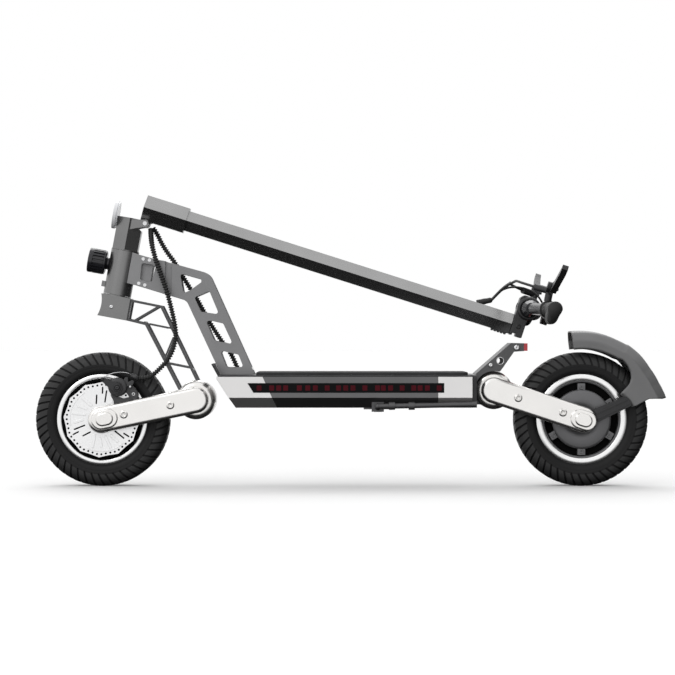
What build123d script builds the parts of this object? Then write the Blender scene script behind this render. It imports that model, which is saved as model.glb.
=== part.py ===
from build123d import *
import os
from math import atan2, cos, degrees, hypot, radians, sin, sqrt, tan

# Folding electric kick scooter, stored folded. Millimetres, +Z up, front towards -X.
# Each piece is placed in one shared frame: origin on the ground under the box centre.

# overall
HALF_BAR = 310.0
TYRE_R, TYRE_HALF = 127.5, 34.0
FRONT_AXLE = (-472.5, 127.5)
REAR_AXLE = (440.5, 127.5)

# steering head
RAKE = 10.5
HEAD_TOP = (-419.3, 511.6)
COLUMN_FLATS, COLUMN_LEN = 48.5, 61.8
TUBE_R, TUBE_BORE, TUBE_TOP, TUBE_END = 26.75, 20.0, -63.8, -149.4
STEERER_R, RUN_GAP = 15.0, 0.05
CROWN_TOP, CROWN_END = -151.4, -194.0

# folding hinge and stem, in stem axes: xi along the stem, eta above the pin
PIN = (-391.4, 500.7)
PIN_X, PIN_Z, PIN_R = 29.4, -5.6, 4.0
FOLD_TILT = 107.6
STEM_ETA, STEM_FLATS, STEM_WALL = 29.3, 38.5, 3.0
STEM_START, STEM_END = 7.0, 725.0
COLLAR_INNER, COLLAR_START, COLLAR_END = 39.1, -11.6, 73.0
KNUCKLE_R, TONGUE_HALF = 7.0, 9.0

# handlebar
BAR_MID, BAR_TIP = (747.7, 66.3), (771.0, 70.0)
BAR_R, GRIP_BAR_R, GRIP_R, GRIP_START = 15.9, 11.0, 13.5, 178.0
LEVER_PIVOT = (763.0, 110.0, 178.0)

# suspension
FRONT_DRUM, FRONT_DRUM_R = (-293.8, 164.5), 37.0
REAR_DRUM, REAR_DRUM_R = (272.5, 183.1), 36.2
DRUM_HALF, SHAFT_R = 45.0, 12.0
ARM_IN, ARM_OUT, ARM_R = 48.0, 62.0, 24.5
AXLE_R = 7.0

# deck
DECK_HALF, DECK_BOTTOM_HALF = 100.0, 80.0
DECK_TOP, DECK_EDGE, DECK_BOTTOM = 209.5, 170.3, 151.0
LID_TOP, MAT_TOP = 212.5, 218.0
WALL = 3.5
NECK_IN, NECK_OUT = 22.0, 28.0

# kickstand
STAND_PIVOT, STAND_AXIS = (51.5, -97.0, 154.2), (0.0, 0.906, -0.423)
STAND_R, STAND_HUB_R, STAND_RING_R = 5.0, 4.7, 7.5

HEAD = Pos(HEAD_TOP[0], 0, HEAD_TOP[1]) * Rot(0, RAKE, 0)
STEM = Pos(PIN[0], 0, PIN[1]) * Rot(0, FOLD_TILT, 0)


def plate(points, y0, y1):
    """Flat plate with an (x, z) outline, from y0 to y1."""
    face = make_face(Polyline(*points, close=True))
    return Pos(0, y1, 0) * Rot(90, 0, 0) * extrude(face, y1 - y0)


def rounded_plate(points, y0, y1, radius):
    """Plate whose upright corners are rounded."""
    body = plate(points, y0, y1)
    return fillet(body.edges().filter_by(Axis.Y), radius)


def disc_y(radius, centre, y0, y1):
    """Cylinder along Y between y0 and y1."""
    return Pos(centre[0], y1, centre[1]) * Rot(90, 0, 0) * extrude(Circle(radius), y1 - y0)


def block(x0, x1, y0, y1, z0, z1):
    return Pos((x0 + x1) / 2, (y0 + y1) / 2, (z0 + z1) / 2) * Box(x1 - x0, y1 - y0, z1 - z0)


def rod(start, end, radius):
    """Cylinder between two points."""
    axis = Vector(*end) - Vector(*start)
    return extrude(Plane(origin=start, z_dir=axis) * Circle(radius), axis.length)


def bar(p, q, width, y0, y1):
    """Straight strip between two (x, z) points."""
    length = hypot(q[0] - p[0], q[1] - p[1])
    nx, nz = (p[1] - q[1]) / length * width / 2, (q[0] - p[0]) / length * width / 2
    outline = [(p[0] + nx, p[1] + nz), (q[0] + nx, q[1] + nz), (q[0] - nx, q[1] - nz), (p[0] - nx, p[1] - nz)]
    return plate(outline, y0, y1)


def both(shape):
    """The shape and its mirror image on the other side."""
    return shape + mirror(shape, Plane.XZ)


def on_side(shape, side):
    """A left-hand shape, or its mirror image for the right."""
    return shape if side == "left" else mirror(shape, Plane.XZ)


def tube(points, radius):
    """Round cord: straight runs joined by arcs as large as the runs allow."""
    runs = [Vector(*b) - Vector(*a) for a, b in zip(points, points[1:])]
    radii = []
    for before, after in zip(runs, runs[1:]):
        half_turn = radians(before.get_angle(after)) / 2
        radii.append(0.45 * min(before.length, after.length) / tan(half_turn))
    path = FilletPolyline(*points, radius=radii)
    return sweep(Plane(origin=path @ 0, z_dir=path % 0) * Circle(radius), path=path)


def hexagon(flats, z0, z1):
    """Hexagonal prism, flats facing x, corners facing Y."""
    return Pos(0, 0, z0) * extrude(RegularPolygon(flats / sqrt(3), 6, rotation=30), z1 - z0)


def stem_hex(flats, xi0, xi1):
    return STEM * Pos(-STEM_ETA, 0, 0) * hexagon(flats, xi0, xi1)


def stem_point(xi, eta, y=0.0):
    """World point of stem coordinates."""
    d = radians(FOLD_TILT)
    x = PIN[0] + xi * sin(d) - eta * cos(d)
    z = PIN[1] + xi * cos(d) + eta * sin(d)
    return (x, y, z)


def stem_xz(pairs):
    return [(stem_point(xi, eta)[0], stem_point(xi, eta)[2]) for xi, eta in pairs]


def wheel_ring(profile, centre):
    """Ring turned from a (radius, y) outline."""
    face = make_face(Polyline(*profile, close=True))
    return Pos(centre[0], 0, centre[1]) * revolve(face, Axis.Y)


# ---------------------------------------------------------------- deck
def deck_outline(inset, top):
    side = DECK_HALF - inset
    low = DECK_BOTTOM_HALF - inset * 0.42
    edge, bottom = DECK_EDGE + inset * 0.42, DECK_BOTTOM + inset
    return [(-side, top), (side, top), (side, edge), (low, bottom), (-low, bottom), (-side, edge)]


def deck_bar(x0, x1, inset=0.0, top=DECK_TOP):
    face = Plane((x0, 0, 0), x_dir=(0, 1, 0), z_dir=(1, 0, 0)) * make_face(
        Polyline(*deck_outline(inset, top), close=True))
    return extrude(face, x1 - x0)


JOINT_F = [(-164.8, DECK_TOP), (-138.1, DECK_BOTTOM)]
NOSE_FRONT = [(-251.4, DECK_TOP), (-251.4, 205.5), (-216.0, DECK_BOTTOM)]
JOINT_R, TAIL_END, REAR_PLATE_END = 164.6, 228.8, 237.4
STRIP = [(-192.9, 197.6), (175.7, 197.6), (175.7, 179.8), (-181.8, 179.8)]


def side_lights():
    """Light strips let into both sides of the deck."""
    return both(plate(STRIP, -DECK_HALF - 0.4, -DECK_HALF + 1.6))


def with_strip_recess(body):
    return body - side_lights()


def deck_shell():
    ends = plate([JOINT_F[0], (JOINT_R, DECK_TOP), (JOINT_R, DECK_BOTTOM), JOINT_F[1]], -110, 110)
    shell = (deck_bar(-260, 200) & ends) - deck_bar(-260, 200, WALL, DECK_TOP + 5)
    return with_strip_recess(shell)


def deck_nose():
    outline = [NOSE_FRONT[0], JOINT_F[0], JOINT_F[1], NOSE_FRONT[2], NOSE_FRONT[1]]
    body = deck_bar(-260, -100) & plate(outline, -110, 110)
    hollow = deck_bar(-226, -100, 8.0, DECK_TOP - 8)
    return with_strip_recess(body - hollow)


def deck_tail():
    body = deck_bar(JOINT_R, TAIL_END) - deck_bar(JOINT_R, TAIL_END - 8, 8.0, DECK_TOP - 8)
    return with_strip_recess(body)


def rear_plate():
    """End plate of the deck with the block that carries the rear pivot drum."""
    body = block(TAIL_END, REAR_PLATE_END, -88, 88, 155.8, 213.0)
    body = fillet(body.edges().filter_by(Axis.X), 6)
    body += block(REAR_PLATE_END, REAR_DRUM[0], -44, 44, REAR_DRUM[1] - 27, REAR_DRUM[1] + 25)
    return body - disc_y(REAR_DRUM_R, REAR_DRUM, -60, 60)


def deck_lid():
    flat = block(-249.3, TAIL_END, -97, 97, DECK_TOP, LID_TOP)
    flat = fillet(flat.edges().filter_by(Axis.Z), 6)
    lip = plate([(-249.3, DECK_TOP), (-249.3, LID_TOP), (-259.9, 234.1), (-262.1, 233.0)], -80, 80)
    screws = [Pos(x, s * 91, LID_TOP) * extrude(Circle(2.6), 1.2)
              for x in (-160, -80, 0, 80, 160) for s in (-1, 1)]
    return flat + lip + screws


def foot_mat():
    mat = block(-178.0, 222.0, -82, 82, LID_TOP, MAT_TOP)
    mat = fillet(mat.edges().filter_by(Axis.Z), 14)
    return chamfer(mat.faces().sort_by(Axis.Z)[-1].edges(), 1.5)


def battery_pack():
    return fillet(block(-128, 62, -77, 77, 155.5, 204.0).edges(), 4)


def motor_controller():
    body = block(76, 156, -60, 60, 155.5, 182.0)
    fins = [block(76, 156, y - 2, y + 2, 182.0, 192.0) for y in range(-56, 57, 14)]
    return body + fins


# ---------------------------------------------------------------- neck and head
NECK = [(-339.5, 424.8), (-268.6, 405.2), (-181.5, LID_TOP), (-246.2, LID_TOP), (-311.8, 353.3),
        (-341.0, 362.0)]
NECK_HOLES = [
    [(-324.1, 405.3), (-278.5, 392.5), (-305.5, 373.1), (-318.0, 367.5)],
    [(-297.0, 359.6), (-268.5, 372.1), (-250.0, 327.5), (-284.6, 332.6)],
    [(-275.2, 315.0), (-263.9, 315.0), (-242.0, 309.8), (-223.5, 270.0), (-258.7, 277.6)],
    [(-248.2, 258.8), (-212.9, 250.6), (-203.5, 226.6), (-235.7, 226.6)],
]
HEAD_BLOCK = [(-414.8, 445.7), (-401.1, 440.9), (-370.0, 432.0), (-352.5, 429.0), (-353.0, 365.6),
              (-411.9, 383.6), (-425.5, 387.0)]
BLOCK_WINDOW = [(-397.1, 425.2), (-373.7, 421.4), (-380.6, 388.0), (-400.2, 393.0)]
BLOCK_CHEEK = [(-353.4, 428.7), (-334.0, 422.8), (-334.0, 361.0), (-353.4, 366.2)]
BLOCK_BOLTS = [(-394.4, 433.0), (-382.5, 430.7), (-402.8, 386.5), (-391.4, 383.2)]
NECK_FOOT_BOLTS = [(-225.0, 219.0), (-200.0, 219.0)]


def neck_plates():
    body = plate(NECK, -NECK_OUT, -NECK_IN)
    corners = body.edges().filter_by(Axis.Y)
    body = fillet(corners.filter_by(lambda e: abs(e.center().X + 268.6) < 1), 24)
    body = fillet(body.edges().filter_by(Axis.Y).filter_by(lambda e: abs(e.center().X + 311.8) < 1), 15)
    for hole in NECK_HOLES:
        body -= rounded_plate(hole, -NECK_OUT - 1, -NECK_IN + 1, 4)
    return both(body)


def neck_head_block():
    body = plate(HEAD_BLOCK, -NECK_OUT, NECK_OUT)
    body -= HEAD * Pos(0, 0, TUBE_END - 10) * extrude(Circle(TUBE_R), 110)
    body -= both(rounded_plate(BLOCK_WINDOW, -NECK_OUT - 1, -NECK_OUT + 9, 4))
    body -= plate([(-376.0, 419.0), (-371.0, 418.0), (-378.0, 390.0), (-381.0, 390.8)], -40, 40)
    for x, z in BLOCK_BOLTS:
        body -= disc_y(3.4, (x, z), -40, 40)
    return body + both(plate(BLOCK_CHEEK, -NECK_IN, -8))


def neck_hardware():
    """Cross pieces between the two neck plates, and the head block bolts."""
    base = plate([(-246.2, LID_TOP), (-226.0, LID_TOP), (-232.0, 224.0), (-251.0, 224.0)], -NECK_IN, NECK_IN)
    tie = [disc_y(5, c, -NECK_IN, NECK_IN) for c in ((-269.5, 384.0), (-190.5, 221.5))]
    return base + tie + [disc_y(3.35, c, -NECK_OUT - 0.6, NECK_OUT + 0.6) for c in BLOCK_BOLTS]


def head_tube():
    shell = HEAD * Pos(0, 0, TUBE_END) * extrude(Circle(TUBE_R), TUBE_TOP - TUBE_END)
    shell += HEAD * block(-33, -22, -5, 5, -138, -127)
    return shell - HEAD * Pos(0, 0, TUBE_END - 1) * extrude(Circle(TUBE_BORE), 90)


def headset_bearings():
    ring = extrude(Circle(TUBE_BORE) - Circle(STEERER_R + RUN_GAP), 9)
    return Compound(children=[HEAD * Pos(0, 0, z) * ring for z in (TUBE_END, TUBE_TOP - 9)])


LIGHT_Z, LIGHT_BACK, LIGHT_FRONT, LIGHT_R = -92.4, -31.4, -65.7, 23.3


def along_front(radius, x0, x1, z=LIGHT_Z):
    """Cylinder square to the steering axis, from x0 forward to x1."""
    return HEAD * Pos(x0, 0, z) * Rot(0, -90, 0) * extrude(Circle(radius), x0 - x1)


def headlight_body():
    can = along_front(LIGHT_R, LIGHT_BACK, LIGHT_FRONT) - along_front(LIGHT_R - 2.5, LIGHT_FRONT + 24, -70)
    slots = [HEAD * Pos(-50, 0, LIGHT_Z) * Rot(k * 20, 0, 0) * Pos(0, 0, LIGHT_R) * Box(20, 2.4, 4)
             for k in range(18)]
    foot = HEAD * block(LIGHT_BACK, -22, -9, 9, LIGHT_Z - 14, LIGHT_Z + 10)
    foot -= HEAD * Pos(0, 0, -160) * extrude(Circle(TUBE_R), 120)
    return can - slots + foot


def headlight_lens():
    return along_front(LIGHT_R - 2.6, LIGHT_FRONT + 6, LIGHT_FRONT + 1)


# ---------------------------------------------------------------- fork
CROWN_BACK = 29.3
TRUSS = [(-420.0, 356.5), (-358.0, 343.9), (-288.8, 201.0), (-293.8, 164.5), (-327.0, 183.6),
         (-390.8, 306.9), (-427.5, 316.0)]
TRUSS_TIES = [((-410.5, 316.0), (-366.0, 342.0)), ((-386.0, 309.5), (-346.1, 301.4)),
              ((-336.5, 284.0), (-353.0, 245.0)), ((-350.0, 234.5), (-303.0, 225.1))]
TRUSS_IN, TRUSS_OUT, CROWN_HALF = 26.0, 31.0, 34.0


def steering_column():
    body = HEAD * hexagon(COLUMN_FLATS, -COLUMN_LEN, 0)
    ear = plate([(3.5, -2.0), (PIN_X, PIN_Z + KNUCKLE_R), (PIN_X + 4, PIN_Z - 5), (3.5, -22.0)], -26, -19)
    ear += disc_y(KNUCKLE_R, (PIN_X, PIN_Z), -26, -19)
    body += HEAD * both(ear)
    body -= HEAD * disc_y(16.5, (PIN_X, PIN_Z), -19, 19)
    body -= HEAD * disc_y(PIN_R, (PIN_X, PIN_Z), -30, 30)
    spacer = Pos(0, 0, TUBE_TOP + 0.3) * extrude(Circle(TUBE_R), -COLUMN_LEN - TUBE_TOP - 0.3)
    steerer = Pos(0, 0, CROWN_TOP) * extrude(Circle(STEERER_R), -COLUMN_LEN - CROWN_TOP)
    return body + HEAD * spacer + HEAD * steerer


def hinge_pin():
    pin = HEAD * disc_y(PIN_R, (PIN_X, PIN_Z), -27.5, 27.5)
    sleeve = disc_y(4.7, (PIN_X, PIN_Z), -18.9, -9.2) - disc_y(PIN_R, (PIN_X, PIN_Z), -20, -9)
    return pin + HEAD * both(sleeve)


REFLECTOR_Z, REFLECTOR_R = 1.6, 27.0


def front_reflector():
    """Round reflector on its cup and foot."""
    disc = along_front(REFLECTOR_R, -28.0, -34.0, REFLECTOR_Z)
    cup = along_front(REFLECTOR_R - 2, -25.0, -28.0, REFLECTOR_Z)
    foot = HEAD * block(-28.0, -COLUMN_FLATS / 2, -12, 12, -22, -2)
    return disc + cup + foot


def fork_crown():
    body = HEAD * block(-27.0, CROWN_BACK, -CROWN_HALF, CROWN_HALF, CROWN_END, CROWN_TOP)
    body -= HEAD * disc_y(62.0, (-85.5, (CROWN_END + CROWN_TOP) / 2), -40, 40)
    ring = HEAD * Pos(0, 0, CROWN_TOP) * extrude(Circle(TUBE_R), TUBE_END - CROWN_TOP - 0.3)
    ring -= HEAD * Pos(0, 0, CROWN_TOP) * extrude(Circle(STEERER_R), 5)
    return body + ring


TRUSS_BRIDGES = [(2.2, (-391.6, 311.9)), (2.2, (-363.6, 341.9)), (2.2, (-301.0, 222.0))]


def fork_truss():
    outline = make_face(Polyline(*TRUSS, close=True))
    frame = outline - offset(outline, -4.6)
    for p, q in TRUSS_TIES:
        frame += strip_face(p, q, 3.2) & outline
    body = Pos(0, -TRUSS_IN, 0) * Rot(90, 0, 0) * extrude(frame, TRUSS_OUT - TRUSS_IN)
    body -= disc_y(FRONT_DRUM_R, FRONT_DRUM, -50, 50)
    body -= HEAD * block(-40, CROWN_BACK, -40, 40, -220, -100)
    return both(body) + truss_bridges()


def strip_face(p, q, width):
    length = hypot(q[0] - p[0], q[1] - p[1])
    turn = degrees(atan2(q[1] - p[1], q[0] - p[0]))
    return Pos((p[0] + q[0]) / 2, (p[1] + q[1]) / 2) * Rot(0, 0, turn) * Rectangle(length, width)


def truss_bridges():
    """Cross tubes that hold the two truss plates apart."""
    return [disc_y(r, c, -TRUSS_IN, TRUSS_IN) for r, c in TRUSS_BRIDGES]


def pivot_drum(centre, radius):
    body = disc_y(radius, centre, -DRUM_HALF, DRUM_HALF)
    body -= disc_y(SHAFT_R + RUN_GAP, centre, -50, 50)
    groove = [disc_y(radius + 1, centre, y - 0.8, y + 0.8) - disc_y(radius - 1, centre, y - 1, y + 1)
              for y in (-40, 40)]
    return body - groove


# ---------------------------------------------------------------- stem and bars
def stem_tube():
    return stem_hex(STEM_FLATS, STEM_START, STEM_END) - stem_hex(STEM_FLATS - 2 * STEM_WALL, 0, STEM_END + 1)


def stem_foot():
    plug = stem_hex(STEM_FLATS - 2 * STEM_WALL, STEM_START, 40.0)
    tongue = plate(stem_xz([(-3, 0), (2.0, 9.0), (STEM_START, 12.0), (STEM_START, 16.0),
                            (19.0, 16.0), (19.0, 9.9), (5.0, 0)]), -TONGUE_HALF, TONGUE_HALF)
    tongue -= stem_hex(STEM_FLATS, STEM_START, 60)
    bore = disc_y(PIN_R + RUN_GAP, PIN, -20, 20)
    return plug + (tongue + disc_y(KNUCKLE_R, PIN, -TONGUE_HALF, TONGUE_HALF)) - bore


def lock_collar():
    body = stem_hex(COLUMN_FLATS, COLLAR_START, COLLAR_END) - stem_hex(COLLAR_INNER, COLLAR_START - 1, 80)
    slot = plate(stem_xz([(-20, -5), (25, -5), (25, 14), (-20, 14)]), -10, 10)
    return body - slot


def handlebar_clamp():
    outline = stem_xz([(725.2, 8), (751, 8), (751, 50), (764, 58), (764, 76), (751, 89), (725.2, 89)])
    body = rounded_plate(outline, -21, 21, 3)
    body += disc_y(23.0, stem_xz([BAR_MID])[0], -21, 21)
    bar_hole = disc_y(BAR_R, stem_xz([BAR_MID])[0], -60, 60)
    plug = stem_hex(STEM_FLATS - 2 * STEM_WALL, 690, 725.2)
    split = plate(stem_xz([(700, 65.6), (745, 65.6), (745, 67.0), (700, 67.0)]), -30, 30)
    catch = plate(stem_xz([(690, 10.0), (724, 10.0), (722, 6.0), (713, 8.0), (701, 8.0), (692, 6.0)]), -8, 8)
    return body + plug + catch - bar_hole - split


def handlebar():
    mid, tip = BAR_MID, BAR_TIP
    middle = rod(stem_point(*mid, -62), stem_point(*mid, 62), BAR_R)
    half = rod(stem_point(*mid, -62), stem_point(*tip, -165), GRIP_BAR_R)
    half += Pos(*stem_point(*tip, -165)) * Sphere(GRIP_BAR_R)
    half += rod(stem_point(*tip, -165), stem_point(*tip, -HALF_BAR + 6), GRIP_BAR_R)
    cone = Plane(origin=stem_point(*mid, -62), z_dir=(0, -1, 0)) * Cone(
        BAR_R, GRIP_BAR_R, 14, align=(Align.CENTER, Align.CENTER, Align.MIN))
    return middle + both(half + cone)


def grip(side):
    centre = stem_xz([BAR_TIP])[0]
    bar_hole = disc_y(GRIP_BAR_R, centre, -HALF_BAR + 6, -100)
    body = disc_y(GRIP_R, centre, -HALF_BAR, -GRIP_START)
    body += disc_y(16.5, centre, -GRIP_START - 5, -GRIP_START)
    wing = stem_xz([(BAR_TIP[0] - 11, BAR_TIP[1]), (BAR_TIP[0] - 7, BAR_TIP[1] - 28),
                    (BAR_TIP[0] + 5, BAR_TIP[1] - 28), (BAR_TIP[0] + 11, BAR_TIP[1])])
    body += rounded_plate(wing, -HALF_BAR + 2, -HALF_BAR + 58, 5)
    return on_side(body - bar_hole, side)


def lever_perches():
    centre = stem_xz([BAR_TIP])[0]
    ring = disc_y(17.0, centre, -176, -160) - disc_y(GRIP_BAR_R, centre, -178, -150)
    xi, eta, y = LEVER_PIVOT
    body = rod(stem_point(xi - 26, eta - 6, -150), stem_point(xi + 4, eta - 6, -172), 6.5)
    neck = rod(stem_point(BAR_TIP[0] - 6, BAR_TIP[1] + 14, -168), stem_point(xi, eta - 8, -168), 7.0)
    head = rod(stem_point(xi - 8, eta, -y), stem_point(xi - 1.2, eta, -y), 10.0)
    pivot = rod(stem_point(xi - 8, eta, -y), stem_point(xi + 14, eta, -y), 2.5)
    swing = rod(stem_point(xi - 1.1, eta, -y), stem_point(xi + 10.1, eta, -y), 13.0)
    swing -= rod(stem_point(xi - 2, eta, -y), stem_point(xi + 11, eta, -y), 2.5)
    return both(body + neck - swing + ring + head + pivot) - handlebar()


def brake_lever(side):
    """Blade that turns about the perch screw, along the stem direction."""
    xi, eta, y = LEVER_PIVOT
    base = Plane(origin=stem_point(xi - 1, eta, -y), x_dir=(0, 1, 0), z_dir=stem_direction())
    outline = Polyline((9, -8), (-14, -9), (-40, 1), (-100, 23), (-114, 33), (-110, 41), (-96, 34),
                       (-34, 12), (-8, 10), (9, 9), close=True)
    blade = extrude(base * make_face(outline), 11.0)
    blade -= extrude(base * Circle(2.55), 30, both=True)
    return on_side(blade, side)


def stem_direction():
    d = radians(FOLD_TILT)
    return (sin(d), 0, cos(d))


def display_unit():
    """Round display with its clamp on the right half of the bar."""
    x, _, z = stem_point(*BAR_MID)
    clamp = disc_y(20.0, (x, z), 42, 58) - disc_y(BAR_R, (x, z), 30, 70)
    post = plate(stem_xz([(763, 76), (782, 78), (782, 66), (763, 64)]), 43, 57)
    post -= disc_y(20.0, (x, z), 30, 70)
    case = rod(stem_point(781, 70, 50), stem_point(794, 70, 50), 22)
    return clamp + post + case


# ---------------------------------------------------------------- tail
GUSSET = [(REAR_PLATE_END, 214.0), (304.9, 273.0), (329.2, 272.4), (329.2, 257.5), (310.5, 256.3),
          (285.0, 219.9), (REAR_PLATE_END, 196.0)]
TAIL_SHEET = [(REAR_PLATE_END, 214.0), (304.9, 273.0), (329.0, 272.4), (329.0, 268.8), (306.0, 269.2),
              (REAR_PLATE_END, 209.3)]
LOCK_EYE, LOCK_EYE_R = (284.2, 238.9), 6.0


def tail_bracket():
    gusset = plate(GUSSET, -50, -45)
    sheet = plate(TAIL_SHEET, -45, 45)
    screws = [disc_y(r, c, -52.0, -50.0) for c, r in (((315.3, 264.0), 5.5), ((266.2, 231.0), 4.0))]
    body = both(gusset + screws) + sheet - disc_y(LOCK_EYE_R, LOCK_EYE, -60, 60)
    return body - disc_y(REAR_DRUM_R + 0.4, REAR_DRUM, -60, 60)


def tail_light():
    return block(329.2, 336.0, -50.0, 50.0, 258.0, 272.2)


# ---------------------------------------------------------------- suspension arms
def swing_arm(pivot, axle, boss_x, screws):
    """Left-hand arm plate with its end boss and screw rings."""
    body = disc_y(ARM_R, pivot, -ARM_OUT, -ARM_IN) + disc_y(ARM_R, axle, -ARM_OUT, -ARM_IN)
    body += bar(pivot, axle, 2 * ARM_R, -ARM_OUT, -ARM_IN)
    body = fillet(body.faces().sort_by(Axis.Y)[0].edges(), 4)
    tilt = degrees(atan2(axle[1] - pivot[1], axle[0] - pivot[0]))
    spot = Pos(boss_x, -ARM_OUT, boss_height(pivot, axle, boss_x)) * Rot(90, 0, 0) * Rot(0, 0, tilt)
    body += spot * extrude(SlotOverall(50, 37), 3.5)
    body += spot * extrude(SlotOverall(33, 26), 7.0)
    for centre in screws:
        body += disc_y(7.0, centre, -ARM_OUT - 2.0, -ARM_OUT)
        body -= disc_y(3.2, centre, -ARM_OUT - 3, -ARM_OUT + 4)
    body -= disc_y(SHAFT_R, pivot, -ARM_OUT + 5, 0)
    return body - disc_y(AXLE_R, axle, -ARM_OUT + 4, 0)


def boss_height(pivot, axle, x):
    return pivot[1] + (axle[1] - pivot[1]) * (x - pivot[0]) / (axle[0] - pivot[0])


def front_arm(side):
    body = swing_arm(FRONT_DRUM, FRONT_AXLE, -465.0, ((-428.5, 137.8), (-340.5, 155.3)))
    return on_side(body, side)


def rear_arm(side):
    body = swing_arm(REAR_DRUM, REAR_AXLE, 440.0, ((317.5, 169.0), (402.0, 141.5)))
    return on_side(body, side)


def swing_shaft(centre):
    return disc_y(SHAFT_R, centre, -ARM_OUT + 5, ARM_OUT - 5)


def axle_bar(centre):
    """Axle with the spacer collars that centre the wheel."""
    collars = disc_y(12.0, centre, -ARM_IN, -39.0) - disc_y(AXLE_R, centre, -50, 0)
    return disc_y(AXLE_R, centre, -ARM_OUT + 4, ARM_OUT - 4) + both(collars)


# ---------------------------------------------------------------- wheels
TYRE_OUT = [(86.5, 29.0), (93.0, 33.0), (104.0, 34.0), (114.0, 32.5), (121.5, 28.5), (126.0, 24.0),
            (127.5, 19.5)]
TYRE_IN = [(86.5, 25.0), (80.2, 25.0), (80.2, 21.0), (88.0, 24.0), (95.0, 27.5), (104.0, 28.5),
           (112.5, 27.0), (117.5, 22.0), (121.5, 12.0), (122.0, 0.0)]
RIM = [(77.0, 29.0), (86.5, 29.0), (86.5, 25.2), (80.0, 25.2), (80.0, 0.0)]
HUB_GAP = AXLE_R + RUN_GAP


def mirrored(points):
    """Half outline from the outside to the middle, completed on the other side."""
    return points + [(r, -y) for r, y in reversed(points) if y > 0]


def tyre(centre):
    inner = mirrored(TYRE_IN)
    return wheel_ring(mirrored(TYRE_OUT) + list(reversed(inner)), centre)


def rim_ring(centre, inner_r):
    points = [(inner_r, 29.0)] + RIM[1:]
    return wheel_ring(mirrored(points), centre)


def front_rim():
    ring = rim_ring(FRONT_AXLE, 77.0)
    web = disc_y(77.0, FRONT_AXLE, -22, 22)
    hub = disc_y(22.0, FRONT_AXLE, -34.0, 38.9)
    return ring + web + hub - disc_y(HUB_GAP, FRONT_AXLE, -50, 50)


def rotor_outline(centre, corners, radius, y0, y1):
    points = [(centre[0] + radius * cos(radians(a)), centre[1] + radius * sin(radians(a))) for a in corners]
    return plate(points, y0, y1)


def front_rotor():
    """Wavy twelve-point disc with a ring of small holes, a carrier and its hub."""
    y0, y1 = -40.5, -38.0
    cx, cz = FRONT_AXLE
    body = rotor_outline(FRONT_AXLE, [26 + 30 * k for k in range(12)], 72.5, y0, y1)
    for k in range(12):
        a = radians(11 + 30 * k)
        body -= disc_y(5, (cx + 53 * cos(a), cz + 53 * sin(a)), y0 - 1, y1 + 1)
    for k in range(48):
        a = radians(7.5 * k + 3)
        body -= disc_y(1.8, (cx + 65 * cos(a), cz + 65 * sin(a)), y0 - 1, y1 + 1)
    body += disc_y(20.0, FRONT_AXLE, y1, -34.0)
    return body - disc_y(HUB_GAP + 5.2, FRONT_AXLE, -50, 0)


def motor_wheel():
    """Hub motor: rim, drum and the two bolted side covers."""
    ring = rim_ring(REAR_AXLE, 73.0)
    drum = disc_y(73.0, REAR_AXLE, -18, 18)
    cover = disc_y(56.5, REAR_AXLE, -30, 30) + disc_y(24, REAR_AXLE, -38.9, 38.9)
    body = ring + drum + cover
    for k in range(6):
        a = 60 * k + 30
        lug = Pos(REAR_AXLE[0], 0, REAR_AXLE[1]) * Rot(0, -a, 0) * block(50, 70, -26, 26, -7.5, 7.5)
        body += lug
    return body - disc_y(HUB_GAP, REAR_AXLE, -50, 50)


def rear_rotor():
    y0, y1 = 39.5, 42.0
    body = disc_y(58.0, REAR_AXLE, y0, y1) - disc_y(13.0, REAR_AXLE, 0, 50)
    for k in range(24):
        a = radians(15 * k)
        body -= disc_y(2.5, (REAR_AXLE[0] + 50 * cos(a), REAR_AXLE[1] + 50 * sin(a)), y0 - 1, y1 + 1)
    return body + disc_y(22.0, REAR_AXLE, 38.9, y0) - disc_y(13.0, REAR_AXLE, 0, 50)


# ---------------------------------------------------------------- fender and brakes
FENDER_IN, FENDER_OUT, FENDER_HALF = 134.5, 137.5, 45.0
SKIRT_R = 110.0


def arc_points(centre, radius, a0, a1, steps=16):
    turn = [radians(a0 + (a1 - a0) * k / steps) for k in range(steps + 1)]
    return [(centre[0] + radius * cos(a), centre[1] + radius * sin(a)) for a in turn]


def rear_fender():
    """Channel over the wheel: crown sheet, deeper side walls and a raised tail hood."""
    crown = arc_points(REAR_AXLE, 149.0, 97, 14) + arc_points(REAR_AXLE, 146.0, 14, 97)
    body = plate(crown, -FENDER_HALF, FENDER_HALF)
    wall = arc_points(REAR_AXLE, 149.0, 97, 14) + [(543.0, 153.9), (534.2, 151.4), (510.4, 176.6),
                                                   (523.0, 184.0), (531.7, 199.2), (532.4, 216.6)]
    wall += arc_points(REAR_AXLE, FENDER_IN, 52, 97)
    body += both(plate(wall, -FENDER_HALF, -FENDER_HALF + 3))
    hood = arc_points(REAR_AXLE, 166.0, 97, 14) + arc_points(REAR_AXLE, 149.0, 14, 97)
    hood = plate(hood, -FENDER_HALF, FENDER_HALF) - plate(
        arc_points(REAR_AXLE, 163.0, 99, 12) + arc_points(REAR_AXLE, 148.0, 12, 99),
        -FENDER_HALF + 3, FENDER_HALF - 3)
    return (body + hood) & block(400, 600, -60, 60, 150, 320)


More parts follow.
